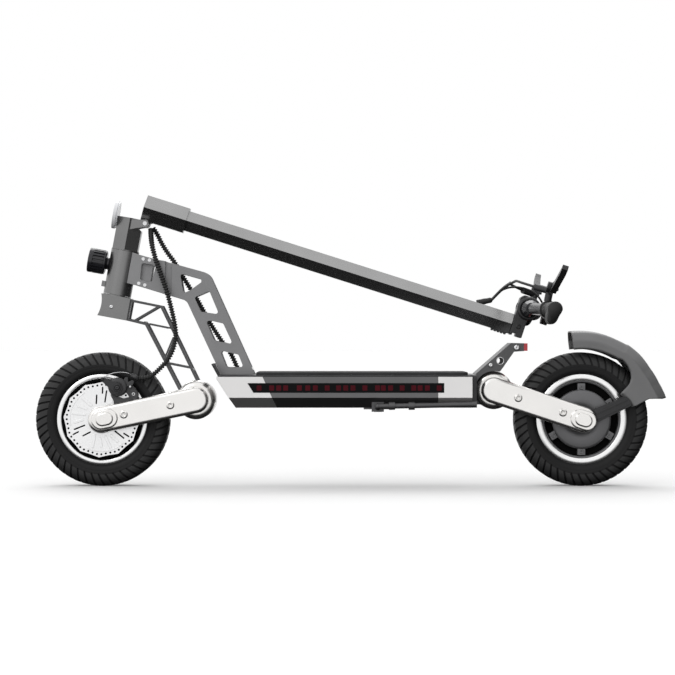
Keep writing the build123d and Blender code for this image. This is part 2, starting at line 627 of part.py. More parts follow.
def fender_stay():
    outline = [(462.0, 148.0), (470.0, 123.0), (533.0, 154.0), (530.0, 165.0), (523.0, 171.0)]
    strap = plate(outline, -51.5, -48.5)
    ribs = [bar((466.0, 139.0), (524.0, 165.0), 3.0, -53.0, -51.5), bar((469.0, 129.0), (528.0, 157.5), 3.0, -53.0, -51.5)]
    strap += ribs
    inner = plate([(505.0, 169.0), (512.0, 148.5), (533.0, 158.0), (523.0, 171.0)], -48.5, -45.0)
    return both(strap + inner) - both(disc_y(ARM_R + 0.5, REAR_AXLE, -60, -40))


FRONT_DOME = (-441.0, 188.0)


def front_caliper():
    """Bracket and body of the cable caliper that straddles the rotor."""
    lower = plate([(-463.0, 178.0), (-424.0, 198.0), (-398.0, 170.0), (-420.0, 146.0), (-436.0, 146.0)], -46.5, -42.0)
    body = plate([(-462.0, 206.0), (-424.0, 200.0), (-404.0, 176.0), (-414.0, 160.0), (-455.0, 176.0)], -54.0, -42.0)
    inner = plate([(-452.0, 196.0), (-428.0, 194.0), (-420.0, 176.0), (-440.0, 172.0)], -42.0, -33.0)
    gap = plate([(-470.0, 210.0), (-400.0, 210.0), (-400.0, 150.0), (-470.0, 150.0)], -41.2, -37.3)
    dome = disc_y(5.5, FRONT_DOME, -57.0, -54.0)
    ferrule = rod((-404.0, -48.0, 205.9), (-416.0, -48.0, 213.0), 5.0)
    web = plate([(-418.0, 220.0), (-404.0, 214.0), (-406.0, 198.0), (-424.0, 200.0)], -52.0, -44.0)
    web -= rod((-398.0, -48.0, 202.3), (-422.0, -48.0, 216.5), 5.0)
    keep_out = disc_y(ARM_R, FRONT_AXLE, -70, -47.5) + bar(FRONT_DRUM, FRONT_AXLE, 2 * ARM_R, -70, -47.5)
    solid = lower + body + inner - gap + dome + web - keep_out
    wheel_room = disc_y(TYRE_R + 1.5, FRONT_AXLE, -35.5, 0)
    return solid - wheel_room + ferrule


def front_brake_arm():
    body = plate([(-434.4, 185.1), (-444.4, 182.1), (-458.0, 189.0), (-473.0, 203.0), (-469.0, 209.0),
                  (-456.0, 203.0), (-440.4, 195.1)], -60.5, -57.2)
    return body + disc_y(8.0, FRONT_DOME, -60.5, -57.2) + disc_y(3.0, (-469.0, 204.7), -63.0, -60.5)


# ---------------------------------------------------------------- kickstand and cables
def stand_axis(t):
    """Point on the slanted kickstand hinge line, t inwards from the leg."""
    x, y, z = STAND_PIVOT
    return (x, y + t * STAND_AXIS[1], z + t * STAND_AXIS[2])


def kickstand_bracket():
    body = plate([(40, 165), (40, 147), (44, 143.4), (59, 143.4), (63, 147), (63, 165)], -91.4, -80.0)
    base = block(25, 78, -80, -60, DECK_BOTTOM - 3, DECK_BOTTOM)
    body += block(40, 63, -80, -76, 143.4, DECK_BOTTOM)
    hole = rod(stand_axis(-4), stand_axis(14.4), STAND_HUB_R + RUN_GAP)
    hole += Pos(*STAND_PIVOT) * Sphere(STAND_R + 1.0)
    return body + base - deck_bar(0, 100) - hole


def kickstand_leg():
    x, y, z = STAND_PIVOT
    hub = rod(STAND_PIVOT, stand_axis(14), STAND_HUB_R)
    leg = rod(STAND_PIVOT, (237.0, y, 157.8), STAND_R) + Pos(x, y, z) * Sphere(STAND_R + 0.6)
    foot = rod((228.0, y, 157.6), (237.0, y, 157.8), STAND_R + 1.0)
    rings = [rod((a, y, 154.9), (a + 11.5, y, 155.1), STAND_RING_R) for a in (72.0, 109.0)]
    return hub + leg + foot + rings


CONDUIT_R = 4.5
BRAKE_LINE = [(-381.5, -8, 490.0), (-380.2, -24, 468.5), (-371.4, -34, 434.2), (-355.1, -40, 390.1),
              (-346.3, -42, 364.6), (-335.0, -44, 318.8), (-331.0, -44, 294.8), (-331.9, -44, 278.9),
              (-336.5, -44, 259.9), (-346.1, -45, 240.8), (-358.8, -46, 226.6), (-374.7, -47, 211.7),
              (-387.5, -48, 205.4), (-400.8, -48, 205.6)]
NECK_LINE = [(-378.1, 8, 492.6), (-371.4, 6, 484.1), (-361.6, 3, 463.5), (-349.2, 0, 444.0),
             (-338.0, 0, 430.1), (-321.5, 0, 401.0), (-306.0, 0, 376.3), (-292.6, 0, 355.2),
             (-281.1, 0, 334.1), (-269.6, 0, 312.1), (-244.7, 0, 273.7), (-226.0, 0, 250.5),
             (-213.2, 0, 217.2)]
LEVER_LINE = [(675, 61, -5), (683, 78, -8), (693, 95, -22), (702, 104, -52), (704, 107, -90), (713, 105, -121),
              (736, 104, -149)]
DISPLAY_LINE = [(675, 61, 0), (683, 80, 8), (700, 96, 26), (725, 104, 43), (750, 103, 50), (768, 95, 51),
                (780.6, 80, 50)]


def bar_cables():
    """Rubber boot on the stem top and the cables that leave it."""
    boot = rod(stem_point(650, 47.6), stem_point(676, 62.0), 6.0) - stem_hex(STEM_FLATS, 600, 725)
    lever_cable = tube([stem_point(*p) for p in LEVER_LINE], 2.5)
    display_cable = tube([stem_point(*p) for p in DISPLAY_LINE], 2.0)
    return boot + both(lever_cable) + display_cable


def throttle_trigger():
    """Thumb lever on the ring beside the display."""
    centre = stem_xz([BAR_MID])[0]
    ring = disc_y(20.0, centre, 30.2, 36.0) - disc_y(BAR_R + RUN_GAP, centre, 20, 50)
    paddle = plate(stem_xz([(742, 50), (733, 38), (738, 34), (752, 46)]), 31, 36)
    return ring + (paddle - disc_y(BAR_R + 1, centre, 20, 50))


def build_order():
    """Every node name with the function that makes it."""
    nodes = {make.__name__: make for make in (
        deck_shell, deck_nose, deck_tail, rear_plate, deck_lid, foot_mat, battery_pack, motor_controller,
        side_lights, neck_plates, neck_head_block, neck_hardware, head_tube, headset_bearings,
        headlight_body, headlight_lens, steering_column, hinge_pin, front_reflector, fork_crown,
        fork_truss, stem_tube, stem_foot, lock_collar, handlebar_clamp, handlebar, lever_perches,
        display_unit, throttle_trigger, bar_cables, tail_bracket, tail_light, front_rim, front_rotor,
        motor_wheel, rear_rotor, rear_fender, fender_stay, front_caliper, front_brake_arm,
        kickstand_bracket, kickstand_leg)}
    for side in ("left", "right"):
        for name, make in (("grip", grip), ("brake_lever", brake_lever),
                           ("front_arm", front_arm), ("rear_arm", rear_arm)):
            nodes[f"{name}_{side}"] = lambda make=make, side=side: make(side)
    for end, drum, radius, axle in (("front", FRONT_DRUM, FRONT_DRUM_R, FRONT_AXLE),
                                    ("rear", REAR_DRUM, REAR_DRUM_R, REAR_AXLE)):
        nodes[f"{end}_pivot_drum"] = lambda drum=drum, radius=radius: pivot_drum(drum, radius)
        nodes[f"{end}_swing_shaft"] = lambda drum=drum: swing_shaft(drum)
        nodes[f"{end}_axle"] = lambda axle=axle: axle_bar(axle)
        nodes[f"{end}_tyre"] = lambda axle=axle: tyre(axle)
    nodes["brake_conduit"] = lambda: tube(BRAKE_LINE, CONDUIT_R)
    nodes["neck_conduit"] = lambda: tube(NECK_LINE, CONDUIT_R)
    return nodes


def main():
    os.makedirs("parts", exist_ok=True)
    for name, make in build_order().items():
        shape = make()
        export_step(shape, f"parts/{name}.step")


main()
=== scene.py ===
from math import cos, pi, radians, sin

import bpy
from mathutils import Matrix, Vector


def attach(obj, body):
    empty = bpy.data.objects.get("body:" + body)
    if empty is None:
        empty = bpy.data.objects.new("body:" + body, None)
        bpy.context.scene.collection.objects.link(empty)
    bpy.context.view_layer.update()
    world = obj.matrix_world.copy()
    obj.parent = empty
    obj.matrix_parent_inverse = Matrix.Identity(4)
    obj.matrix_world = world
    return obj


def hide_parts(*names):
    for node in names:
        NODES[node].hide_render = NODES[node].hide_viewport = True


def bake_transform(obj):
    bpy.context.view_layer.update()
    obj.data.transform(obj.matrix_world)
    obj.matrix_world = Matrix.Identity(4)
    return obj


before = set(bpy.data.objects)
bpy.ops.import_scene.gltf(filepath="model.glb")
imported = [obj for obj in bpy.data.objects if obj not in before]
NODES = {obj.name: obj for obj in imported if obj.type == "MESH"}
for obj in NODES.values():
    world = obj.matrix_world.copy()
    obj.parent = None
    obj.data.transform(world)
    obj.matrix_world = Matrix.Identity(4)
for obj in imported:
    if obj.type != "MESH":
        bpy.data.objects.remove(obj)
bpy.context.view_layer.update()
MM = 0.001

# (x, z) points in millimetres
FRONT_AXLE, REAR_AXLE = (-472.5, 127.5), (440.5, 127.5)
FRONT_DRUM, REAR_DRUM = (-293.8, 164.5), (272.5, 183.1)
PIN = (-391.4, 500.7)          # stem's folding hinge
HEAD_TOP = (-419.3, 511.6)     # top of the steering head
RAKE = radians(10.5)           # lean of the steering axis
TILT = radians(107.6)          # lean of the folded stem
BAR_TIP = (771.0, 70.0)        # handlebar, along and above the stem's line
CAMERA_PLACE, CAMERA_LENS, SENSOR_WIDTH = (-0.0243, -4.5, 0.2833), 125.2, 36.0


# ------------------------------------------------------------ camera, light, stage
def make_camera():
    data = bpy.data.cameras.new("camera")
    data.lens, data.sensor_width = CAMERA_LENS, SENSOR_WIDTH
    data.clip_end = 50
    camera = bpy.data.objects.new("camera", data)
    camera.location = CAMERA_PLACE
    camera.rotation_euler = (radians(90), 0, 0)
    bpy.context.collection.objects.link(camera)
    bpy.context.scene.camera = camera


def area_light(name, location, aim, size, power):
    data = bpy.data.lights.new(name, "AREA")
    data.shape, data.size, data.size_y, data.energy = "RECTANGLE", size[0], size[1], power
    lamp = bpy.data.objects.new(name, data)
    lamp.location = location
    lamp.rotation_euler = (Vector(aim) - Vector(location)).to_track_quat("-Z", "Y").to_euler()
    bpy.context.collection.objects.link(lamp)


def ramp_value(tree, source, low, high, at_low, at_high):
    node = tree.nodes.new("ShaderNodeMapRange")
    node.interpolation_type = "SMOOTHSTEP"
    node.inputs["From Min"].default_value, node.inputs["From Max"].default_value = low, high
    node.inputs["To Min"].default_value, node.inputs["To Max"].default_value = at_low, at_high
    tree.links.new(source, node.inputs["Value"])
    return node.outputs["Result"]


def combined(tree, operation, first, second):
    node = tree.nodes.new("ShaderNodeMath")
    node.operation = operation
    tree.links.new(first, node.inputs[0])
    tree.links.new(second, node.inputs[1])
    return node.outputs[0]


def make_world():
    """White backdrop for the camera; for the object, a tent that is dark below and low on the right."""
    world = bpy.data.worlds.new("studio")
    bpy.context.scene.world = world
    world.use_nodes = True
    tree = world.node_tree
    tree.nodes.clear()
    out = tree.nodes.new("ShaderNodeOutputWorld")
    mix = tree.nodes.new("ShaderNodeMixShader")
    seen, tent = tree.nodes.new("ShaderNodeBackground"), tree.nodes.new("ShaderNodeBackground")
    path, coords = tree.nodes.new("ShaderNodeLightPath"), tree.nodes.new("ShaderNodeTexCoord")
    split = tree.nodes.new("ShaderNodeSeparateXYZ")
    tree.links.new(coords.outputs["Generated"], split.inputs[0])
    height = ramp_value(tree, split.outputs["Z"], -0.50, -0.12, 0.005, 1.0)
    right = ramp_value(tree, split.outputs["X"], 0.30, 0.85, 1.0, 0.05)
    overhead = ramp_value(tree, split.outputs["Z"], 0.30, 0.65, 0.0, 1.0)
    strength = combined(tree, "MULTIPLY", height, combined(tree, "MAXIMUM", right, overhead))
    tree.links.new(strength, tent.inputs["Strength"])
    tree.links.new(path.outputs["Is Camera Ray"], mix.inputs["Fac"])
    tree.links.new(tent.outputs[0], mix.inputs[1])
    tree.links.new(seen.outputs[0], mix.inputs[2])
    tree.links.new(mix.outputs[0], out.inputs["Surface"])
    seen.inputs["Color"].default_value = (1, 1, 1, 1)
    tent.inputs["Color"].default_value = (1, 1, 1, 1)


def sun(name, aim, strength, spread):
    data = bpy.data.lights.new(name, "SUN")
    data.energy, data.angle = strength, radians(spread)
    lamp = bpy.data.objects.new(name, data)
    lamp.rotation_euler = Vector(aim).to_track_quat("-Z", "Y").to_euler()
    bpy.context.collection.objects.link(lamp)


def make_stage():
    """Pale floor running on behind the object, left out of reflections and bounced light."""
    corners = [(-60, -30, 0), (60, -30, 0), (60, 200, 0), (-60, 200, 0)]
    floor = new_mesh("studio_floor", corners, [(0, 1, 2, 3)])
    paint = surface("floor_paint", (0.74, 0.74, 0.74), rough=1.0, speck=0, grain=0, specular=0.0)
    shader = paint.node_tree.nodes["Principled BSDF"]
    shader.inputs["Emission Color"].default_value = (1, 1, 1, 1)
    shader.inputs["Emission Strength"].default_value = 0.12
    floor.data.materials.append(paint)
    floor.visible_glossy = False
    floor.visible_diffuse = False


# ------------------------------------------------------------ materials
def link_bump(tree, height, strength, distance, normal=None):
    bump = tree.nodes.new("ShaderNodeBump")
    bump.inputs["Strength"].default_value = strength
    bump.inputs["Distance"].default_value = distance
    tree.links.new(height, bump.inputs["Height"])
    if normal:
        tree.links.new(normal, bump.inputs["Normal"])
    return bump.outputs["Normal"]


def noise(tree, vector, scale, detail=3.0, stretch=None):
    if stretch:
        mapping = tree.nodes.new("ShaderNodeMapping")
        mapping.inputs["Scale"].default_value = stretch
        tree.links.new(vector, mapping.inputs["Vector"])
        vector = mapping.outputs["Vector"]
    node = tree.nodes.new("ShaderNodeTexNoise")
    node.inputs["Scale"].default_value = scale
    node.inputs["Detail"].default_value = detail
    tree.links.new(vector, node.inputs["Vector"])
    return node.outputs["Fac"]


NOISE_LOW, NOISE_HIGH = 0.3, 0.7


def mixed(tree, factor, low, high):
    """Colour between two, by a noise factor."""
    ramp = tree.nodes.new("ShaderNodeValToRGB")
    ramp.color_ramp.elements[0].color = (*low, 1)
    ramp.color_ramp.elements[1].color = (*high, 1)
    ramp.color_ramp.elements[0].position, ramp.color_ramp.elements[1].position = NOISE_LOW, NOISE_HIGH
    tree.links.new(factor, ramp.inputs["Fac"])
    return ramp.outputs["Color"]


def ranged(tree, factor, low, high):
    """Value between two, by a noise factor."""
    node = tree.nodes.new("ShaderNodeMapRange")
    node.inputs["From Min"].default_value, node.inputs["From Max"].default_value = NOISE_LOW, NOISE_HIGH
    node.inputs["To Min"].default_value, node.inputs["To Max"].default_value = low, high
    tree.links.new(factor, node.inputs["Value"])
    return node.outputs["Result"]


def surface(name, color, metal=0.0, rough=0.4, speck=0.08, grain=0.15, scale=900.0, edge=0.0,
            coat=0.0, stretch=None, sheen=0.0, depth=0.0001, specular=0.5):
    """Principled material with a fine grain in its colour, gloss and relief."""
    found = bpy.data.materials.get(name)
    if found:
        return found
    material = bpy.data.materials.new(name)
    material.use_nodes = True
    tree = material.node_tree
    shader = tree.nodes["Principled BSDF"]
    coords = tree.nodes.new("ShaderNodeTexCoord").outputs["Object"]
    fine, broad = noise(tree, coords, scale, 4, stretch), noise(tree, coords, 14, 2)
    low = tuple(max(c * (1 - speck), 0) for c in color)
    high = tuple(min(c * (1 + speck), 1) for c in color)
    tree.links.new(mixed(tree, broad, low, high), shader.inputs["Base Color"])
    tree.links.new(ranged(tree, fine, rough * 0.88, min(rough * 1.12, 1)), shader.inputs["Roughness"])
    shader.inputs["Metallic"].default_value = metal
    shader.inputs["Coat Weight"].default_value = coat
    shader.inputs["Coat Roughness"].default_value = 0.12
    shader.inputs["Sheen Weight"].default_value = sheen
    shader.inputs["Specular IOR Level"].default_value = specular
    normal = None
    if edge:
        corner = tree.nodes.new("ShaderNodeBevel")
        corner.samples = 4
        corner.inputs["Radius"].default_value = edge
        normal = corner.outputs["Normal"]
    if grain:
        normal = link_bump(tree, fine, grain, depth, normal)
    if normal:
        tree.links.new(normal, shader.inputs["Normal"])
    return material


def grip_tape():
    return surface("grip_tape", (0.035, 0.035, 0.037), rough=0.85, speck=0.2, grain=0.8, scale=1600,
                   depth=0.0006, edge=0.0006)


def lens(name, color, rough=0.08, glow=0.0, alpha=1.0):
    material = surface(name, color, rough=rough, speck=0.05, grain=0.25, scale=320, coat=0.6, depth=0.0004)
    shader = material.node_tree.nodes["Principled BSDF"]
    shader.inputs["Emission Color"].default_value = (*color, 1)
    shader.inputs["Emission Strength"].default_value = glow
    shader.inputs["Alpha"].default_value = alpha
    return material


def finishes():
    """Every finish by its short name."""
    return {
        "silver": surface("cast_silver", (0.90, 0.885, 0.865), metal=0.92, rough=0.24, speck=0.03,
                          grain=0.10, scale=1300, edge=0.0012),
        "bright": surface("turned_alloy", (0.96, 0.96, 0.96), metal=0.9, rough=0.22, speck=0.02,
                          grain=0.10, scale=500, edge=0.0004),
        "stem": surface("stem_anodised", (0.38, 0.38, 0.38), metal=0.95, rough=0.27, speck=0.04, grain=0.04,
                        scale=420, stretch=(0.25, 3, 3), edge=0.0008),
        "column": surface("column_anodised", (0.22, 0.22, 0.22), metal=0.9, rough=0.30, speck=0.05,
                          grain=0.12, scale=900, edge=0.0008),
        "grey": surface("frame_grey", (0.27, 0.27, 0.275), metal=0.45, rough=0.42, speck=0.06, grain=0.2,
                        scale=1500, edge=0.0010),
        "truss": surface("truss_grey", (0.10, 0.10, 0.103), metal=0.45, rough=0.42, speck=0.08, grain=0.2,
                         scale=1500, edge=0.0006),
        "deck": surface("deck_anodised", (0.15, 0.15, 0.153), metal=0.75, rough=0.34, speck=0.05,
                        grain=0.12, scale=420, stretch=(0.25, 3, 3), edge=0.0008),
        "panel": surface("panel_silver", (0.84, 0.83, 0.825), metal=0.75, rough=0.32, speck=0.03,
                         grain=0.10, scale=1300, edge=0.0010),
        "dark": surface("black_paint", (0.030, 0.030, 0.032), metal=0.2, rough=0.38, speck=0.12, grain=0.25,
                        scale=1500, edge=0.0007),
        "gloss": surface("gloss_black", (0.010, 0.010, 0.011), rough=0.14, speck=0.1, grain=0.06, coat=0.5,
                         edge=0.0006),
        "strip": surface("strip_black", (0.004, 0.004, 0.0045), rough=0.35, speck=0.1, grain=0.05,
                         specular=0.08, edge=0.0006),
        # near-black without gloss: painted shade in the recesses behind the rims and covers
        "painted_shade": surface("recess_painted_shade", (0.004, 0.004, 0.004), rough=0.8, speck=0.1, grain=0.1,
                        specular=0.05),
        # lighter rubber for the tread faces: painted light where the tread slopes up towards the lamps
        "tread": surface("tread_painted_light", (0.021, 0.021, 0.0215), rough=0.55, speck=0.2, grain=0.35,
                         scale=1100),
        "shell": surface("caliper_black", (0.055, 0.055, 0.057), metal=0.3, rough=0.45, speck=0.1,
                         grain=0.3, scale=1500, edge=0.0008),
        "plastic": surface("moulded_plastic", (0.020, 0.020, 0.021), rough=0.45, speck=0.1, grain=0.4,
                           scale=1900, edge=0.0006),
        "rubber": surface("soft_rubber", (0.012, 0.012, 0.012), rough=0.55, speck=0.15, grain=0.3,
                          scale=1500),
        "tyre": surface("tyre_rubber", (0.009, 0.009, 0.0095), rough=0.55, speck=0.2, grain=0.35,
                        scale=1100, specular=0.3),
        "steel": surface("zinc_steel", (0.74, 0.74, 0.75), metal=0.9, rough=0.28, speck=0.04, grain=0.12,
                         scale=900, edge=0.0004),
        "rotor": surface("ground_steel", (0.95, 0.95, 0.955), metal=0.85, rough=0.30, speck=0.03,
                         grain=0.15, scale=600, edge=0.0003),
        "cover": surface("motor_grey", (0.17, 0.17, 0.175), metal=0.5, rough=0.40, speck=0.04, grain=0.15,
                         scale=1200, edge=0.0008),
        "fender": surface("fender_grey", (0.19, 0.19, 0.192), metal=0.4, rough=0.36, speck=0.04, grain=0.25,
                          scale=2100),
        "mat": grip_tape(),
        "red": lens("red_lens", (0.40, 0.012, 0.02), glow=0.20),
        "tile": surface("red_tile", (0.085, 0.006, 0.012), rough=0.6, speck=0.2, grain=0.3, scale=700,
                        specular=0.1),
        "white": lens("white_reflector", (0.80, 0.81, 0.83), rough=0.15),
        "clear": lens("clear_lens", (0.75, 0.78, 0.8), rough=0.05, alpha=0.55),
        "wrap": surface("cell_wrap", (0.05, 0.12, 0.2), rough=0.4),
    }


# ------------------------------------------------------------ mesh helpers
def new_mesh(name, verts, faces, smooth=False):
    mesh = bpy.data.meshes.new(name)
    mesh.from_pydata([tuple(v) for v in verts], [], faces)
    mesh.validate()
    mesh.update()
    if smooth:
        mesh.polygons.foreach_set("use_smooth", [True] * len(mesh.polygons))
    obj = bpy.data.objects.new(name, mesh)
    bpy.context.collection.objects.link(obj)
    return obj


def place(obj, material, body, slot, *nodes):
    """Give a piece its finish, its body and the CAD nodes it stands for."""
    obj.data.materials.append(material)
    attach(obj, body)
    if nodes:
        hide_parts(*nodes)
    return obj


def ring_faces(steps, count):
    """Quads of a closed ring with count points in each of its sections."""
    return [(i * count + k, i * count + (k + 1) % count, (i + 1) % steps * count + (k + 1) % count,
             (i + 1) % steps * count + k) for i in range(steps) for k in range(count)]


def tube_faces(rows, sides):
    """Quads between rows of points round a tube, and a cap on each end."""
    faces = [(i * sides + k, i * sides + (k + 1) % sides, (i + 1) * sides + (k + 1) % sides,
              (i + 1) * sides + k) for i in range(rows - 1) for k in range(sides)]
    return faces + [tuple(range(sides))[::-1], tuple((rows - 1) * sides + k for k in range(sides))]


def lathe(name, profile, centre, steps=160, smooth=True):
    """Closed ring from (radius, y) points in millimetres."""
    verts = []
    for i in range(steps):
        a = 2 * pi * i / steps
        for r, y in profile:
            verts.append(((centre[0] + r * cos(a)) * MM, y * MM, (centre[1] + r * sin(a)) * MM))
    return new_mesh(name, verts, ring_faces(steps, len(profile)), smooth)


def plate(name, outline, y0, y1, holes=(), bevel=0.0):
    """Flat piece with an (x, z) outline and holes, cut from a filled curve."""
    curve = bpy.data.curves.new(name, "CURVE")
    curve.dimensions, curve.fill_mode = "2D", "BOTH"
    curve.extrude = max((y1 - y0) / 2 - bevel, 0.01) * MM
    curve.bevel_depth, curve.bevel_resolution, curve.offset = bevel * MM, 1, -bevel * MM
    for loop in [outline, *holes]:
        spline = curve.splines.new("POLY")
        spline.points.add(len(loop) - 1)
        for point, (x, z) in zip(spline.points, loop):
            point.co = (x * MM, z * MM, 0, 1)
        spline.use_cyclic_u = True
    source = bpy.data.objects.new(name + "_curve", curve)
    bpy.context.collection.objects.link(source)
    mesh = bpy.data.meshes.new_from_object(source.evaluated_get(bpy.context.evaluated_depsgraph_get()))
    bpy.data.objects.remove(source)
    middle = (y0 + y1) / 2 * MM
    for v in mesh.vertices:
        v.co = (v.co.x, middle - v.co.z, v.co.y)
    mesh.materials.clear()
    mesh.name = name
    obj = bpy.data.objects.new(name, mesh)
    bpy.context.collection.objects.link(obj)
    return obj


def circle(centre, radius, steps=24):
    turns = [2 * pi * k / steps for k in range(steps)]
    return [(centre[0] + radius * cos(t), centre[1] + radius * sin(t)) for t in turns]


def polar(centre, radius, degrees):
    return (centre[0] + radius * cos(radians(degrees)), centre[1] + radius * sin(radians(degrees)))


def rounded(points, radius, steps=5):
    """Outline with each corner replaced by a small arc."""
    out, n = [], len(points)
    for i, p in enumerate(points):
        a, b = Vector(points[i - 1]), Vector(points[(i + 1) % n])
        p = Vector(p)
        u, v = a - p, b - p
        cut = min(radius, u.length * 0.45, v.length * 0.45)
        start, end = p + u.normalized() * cut, p + v.normalized() * cut
        for k in range(steps + 1):
            t = k / steps
            out.append(tuple((1 - t) ** 2 * start + 2 * t * (1 - t) * p + t * t * end))
    return out


def join(name, parts):
    """One mesh from several, modifiers applied."""
    bpy.context.view_layer.update()
    graph = bpy.context.evaluated_depsgraph_get()
    verts, faces, smooth = [], [], []
    for part in parts:
        mesh = bpy.data.meshes.new_from_object(part.evaluated_get(graph))
        base = len(verts)
        verts += [part.matrix_world @ v.co for v in mesh.vertices]
        for polygon in mesh.polygons:
            faces.append([base + i for i in polygon.vertices])
            smooth.append(polygon.use_smooth)
        bpy.data.meshes.remove(mesh)
    for part in parts:
        bpy.data.objects.remove(part)
    obj = new_mesh(name, verts, faces)
    obj.data.polygons.foreach_set("use_smooth", smooth)
    return obj


def route_points(route, spacing):
    """Evenly spaced points, in metres, along the smooth line through a route."""
    curve = bpy.data.curves.new("route", "CURVE")
    curve.dimensions, curve.resolution_u = "3D", 24
    spline = curve.splines.new("NURBS")
    spline.points.add(len(route) - 1)
    for point, (x, y, z) in zip(spline.points, route):
        point.co = (x * MM, y * MM, z * MM, 1)
    spline.order_u, spline.use_endpoint_u = 3, True
    source = bpy.data.objects.new("route", curve)
    bpy.context.collection.objects.link(source)
    mesh = bpy.data.meshes.new_from_object(source.evaluated_get(bpy.context.evaluated_depsgraph_get()))
    line = [v.co.copy() for v in mesh.vertices]
    bpy.data.objects.remove(source)
    total = sum((b - a).length for a, b in zip(line, line[1:]))
    count = max(int(total / (spacing * MM)), 4)
    out, i, run = [line[0]], 0, 0.0
    for k in range(1, count):
        target = total * k / count
        while i < len(line) - 2 and run + (line[i + 1] - line[i]).length < target:
            run += (line[i + 1] - line[i]).length
            i += 1
        step = line[i + 1] - line[i]
        out.append(line[i] + step * ((target - run) / max(step.length, 1e-9)))
    return out + [line[-1]]


def sweep(name, points, radii, sides=14):
    """Round tube along points, one radius for each point."""
    verts, n = [], len(points)
    normal = None
    for i, p in enumerate(points):
        tangent = (points[min(i + 1, n - 1)] - points[max(i - 1, 0)]).normalized()
        if normal is None:
            normal = tangent.orthogonal().normalized()
        normal = (normal - tangent * normal.dot(tangent)).normalized()
        side = tangent.cross(normal)
        for k in range(sides):
            a = 2 * pi * k / sides
            verts.append(p + (normal * cos(a) + side * sin(a)) * radii[i] * MM)
    return new_mesh(name, verts, tube_faces(n, sides), True)


# ------------------------------------------------------------ wheels
# half of the tyre's outline as (radius, y), bead to middle
TYRE_PROFILE = [(86.5, 29.0), (89.5, 31.4), (93.0, 33.0), (98.5, 33.8), (104.0, 34.0), (109.5, 33.5),
                (114.0, 32.5), (118.2, 30.8), (121.5, 28.5), (124.2, 26.0), (126.0, 23.5), (127.1, 20.5),
                (127.5, 16.0), (127.5, 8.0), (127.5, 0.0)]
TYRE_INSIDE = [(80.2, -25.0), (80.2, -21.0), (95.0, -27.0), (112.0, -25.0), (121.0, 0.0), (112.0, 25.0),
               (95.0, 27.0), (80.2, 21.0), (80.2, 25.0), (86.3, 25.2)]
PITCHES = 48            # tread blocks round a tyre
TREAD_FOOT = 104        # radius where the shoulder cuts begin
# shallower raised faces get the lighter tread rubber as painted light; deeper faces keep the dark rubber as
# painted groove shade
SHALLOW_CUT = 1.2       # faces less deep than this are tread, the rest groove


def smooth_profile(points, per=6):
    """Catmull-Rom samples through the half outline."""
    out = []
    for i in range(len(points) - 1):
        p0, p1 = points[max(i - 1, 0)], points[i]
        p2, p3 = points[i + 1], points[min(i + 2, len(points) - 1)]
        for k in range(per):
            t = k / per
            out.append(tuple(0.5 * (2 * b + (c - a) * t + (2 * a - 5 * b + 4 * c - d) * t * t
                                    + (3 * b - a - 3 * c + d) * t ** 3)
                             for a, b, c, d in zip(p0, p1, p2, p3)))
    return out + [points[-1]]


def groove(distance, width):
    """1 in the middle of a groove, 0 outside it, with sloping walls."""
    return max(0.0, min(1.0, (width - abs(distance)) / (width * 0.35)))


def tread_depth(angle, r, y):
    """Groove depth in millimetres: curved shoulder cuts and a zigzag line beside the middle."""
    pitch = 2 * pi / PITCHES
    if r < TREAD_FOOT:
        return 0.4 * groove(r - 99.0, 1.4) + 0.35 * groove(r - 91.5, 0.9)
    lateral = abs(y)
    lean = (r - TREAD_FOOT) * 0.0045 + (0.06 * (1 - lateral / 28.0) if lateral < 28 else 0.0)
    phase = (angle + (pitch / 2 if y > 0 else 0) - lean) % pitch
    across = (phase - pitch / 2) * 120.0
    fade = max(0.0, min(1.0, (r - TREAD_FOOT) / 1.5)) * max(0.0, min(1.0, (lateral - 7.0) / 3.0))
    cut = groove(across, 1.9) * fade * 3.4
    wave = 3.2 * abs(((angle / pitch) % 1.0) * 2 - 1) - 1.6
    centre = groove(lateral - 6.0 - wave, 1.9) * 2.8 if r > 122 else 0.0
    return max(cut, centre)


def make_tyre(name, centre, body, node, fin):
    """Tyre with cut tread; the tread faces get a lighter rubber as painted light, leaving the grooves and
    walls darker as painted shade.
    """
    half = smooth_profile(TYRE_PROFILE)
    outer = half + [(r, -y) for r, y in reversed(half[:-1])]
    steps = 1152
    verts, depths, count = [], [], len(outer) + len(TYRE_INSIDE)
    for i in range(steps):
        a = 2 * pi * i / steps
        for r, y in outer:
            d = tread_depth(a % (2 * pi), r, y)
            depths.append(d)
            cut = r - d * (1.0 if abs(y) < 20 else 0.7)
            tuck = 0.45 * d if y > 20 else -0.45 * d if y < -20 else 0
            verts.append(((centre[0] + cut * cos(a)) * MM, (y - tuck) * MM,
                          (centre[1] + cut * sin(a)) * MM))
        for r, y in TYRE_INSIDE:
            depths.append(0.0)
            verts.append(((centre[0] + r * cos(a)) * MM, y * MM, (centre[1] + r * sin(a)) * MM))
    tyre = new_mesh(name, verts, ring_faces(steps, count), True)
    # painted light on the up-facing tread faces, painted shade left in the grooves
    raised = [k for k, (r, _) in enumerate(outer) if r > TREAD_FOOT + 0.5]
    for polygon in tyre.data.polygons:
        corners = polygon.vertices
        on_top = all(raised[0] <= v % count <= raised[-1] for v in corners)
        if on_top and max(depths[v] for v in corners) < SHALLOW_CUT:
            polygon.material_index = 1
    place(tyre, fin["tyre"], body, "tyre", node)
    tyre.data.materials.append(fin["tread"])


def ring_profile(inner):
    """Rim section: two flanges out to the bead, from the inner radius."""
    lip = 29.0
    return [(inner, -lip + 0.8), (inner + 0.8, -lip), (85.6, -lip), (86.4, -lip + 0.8), (86.4, -25.2),
            (80.0, -25.2), (80.0, 25.2), (86.4, 25.2), (86.4, lip - 0.8), (85.6, lip), (inner + 0.8, lip),
            (inner, lip - 0.8)]


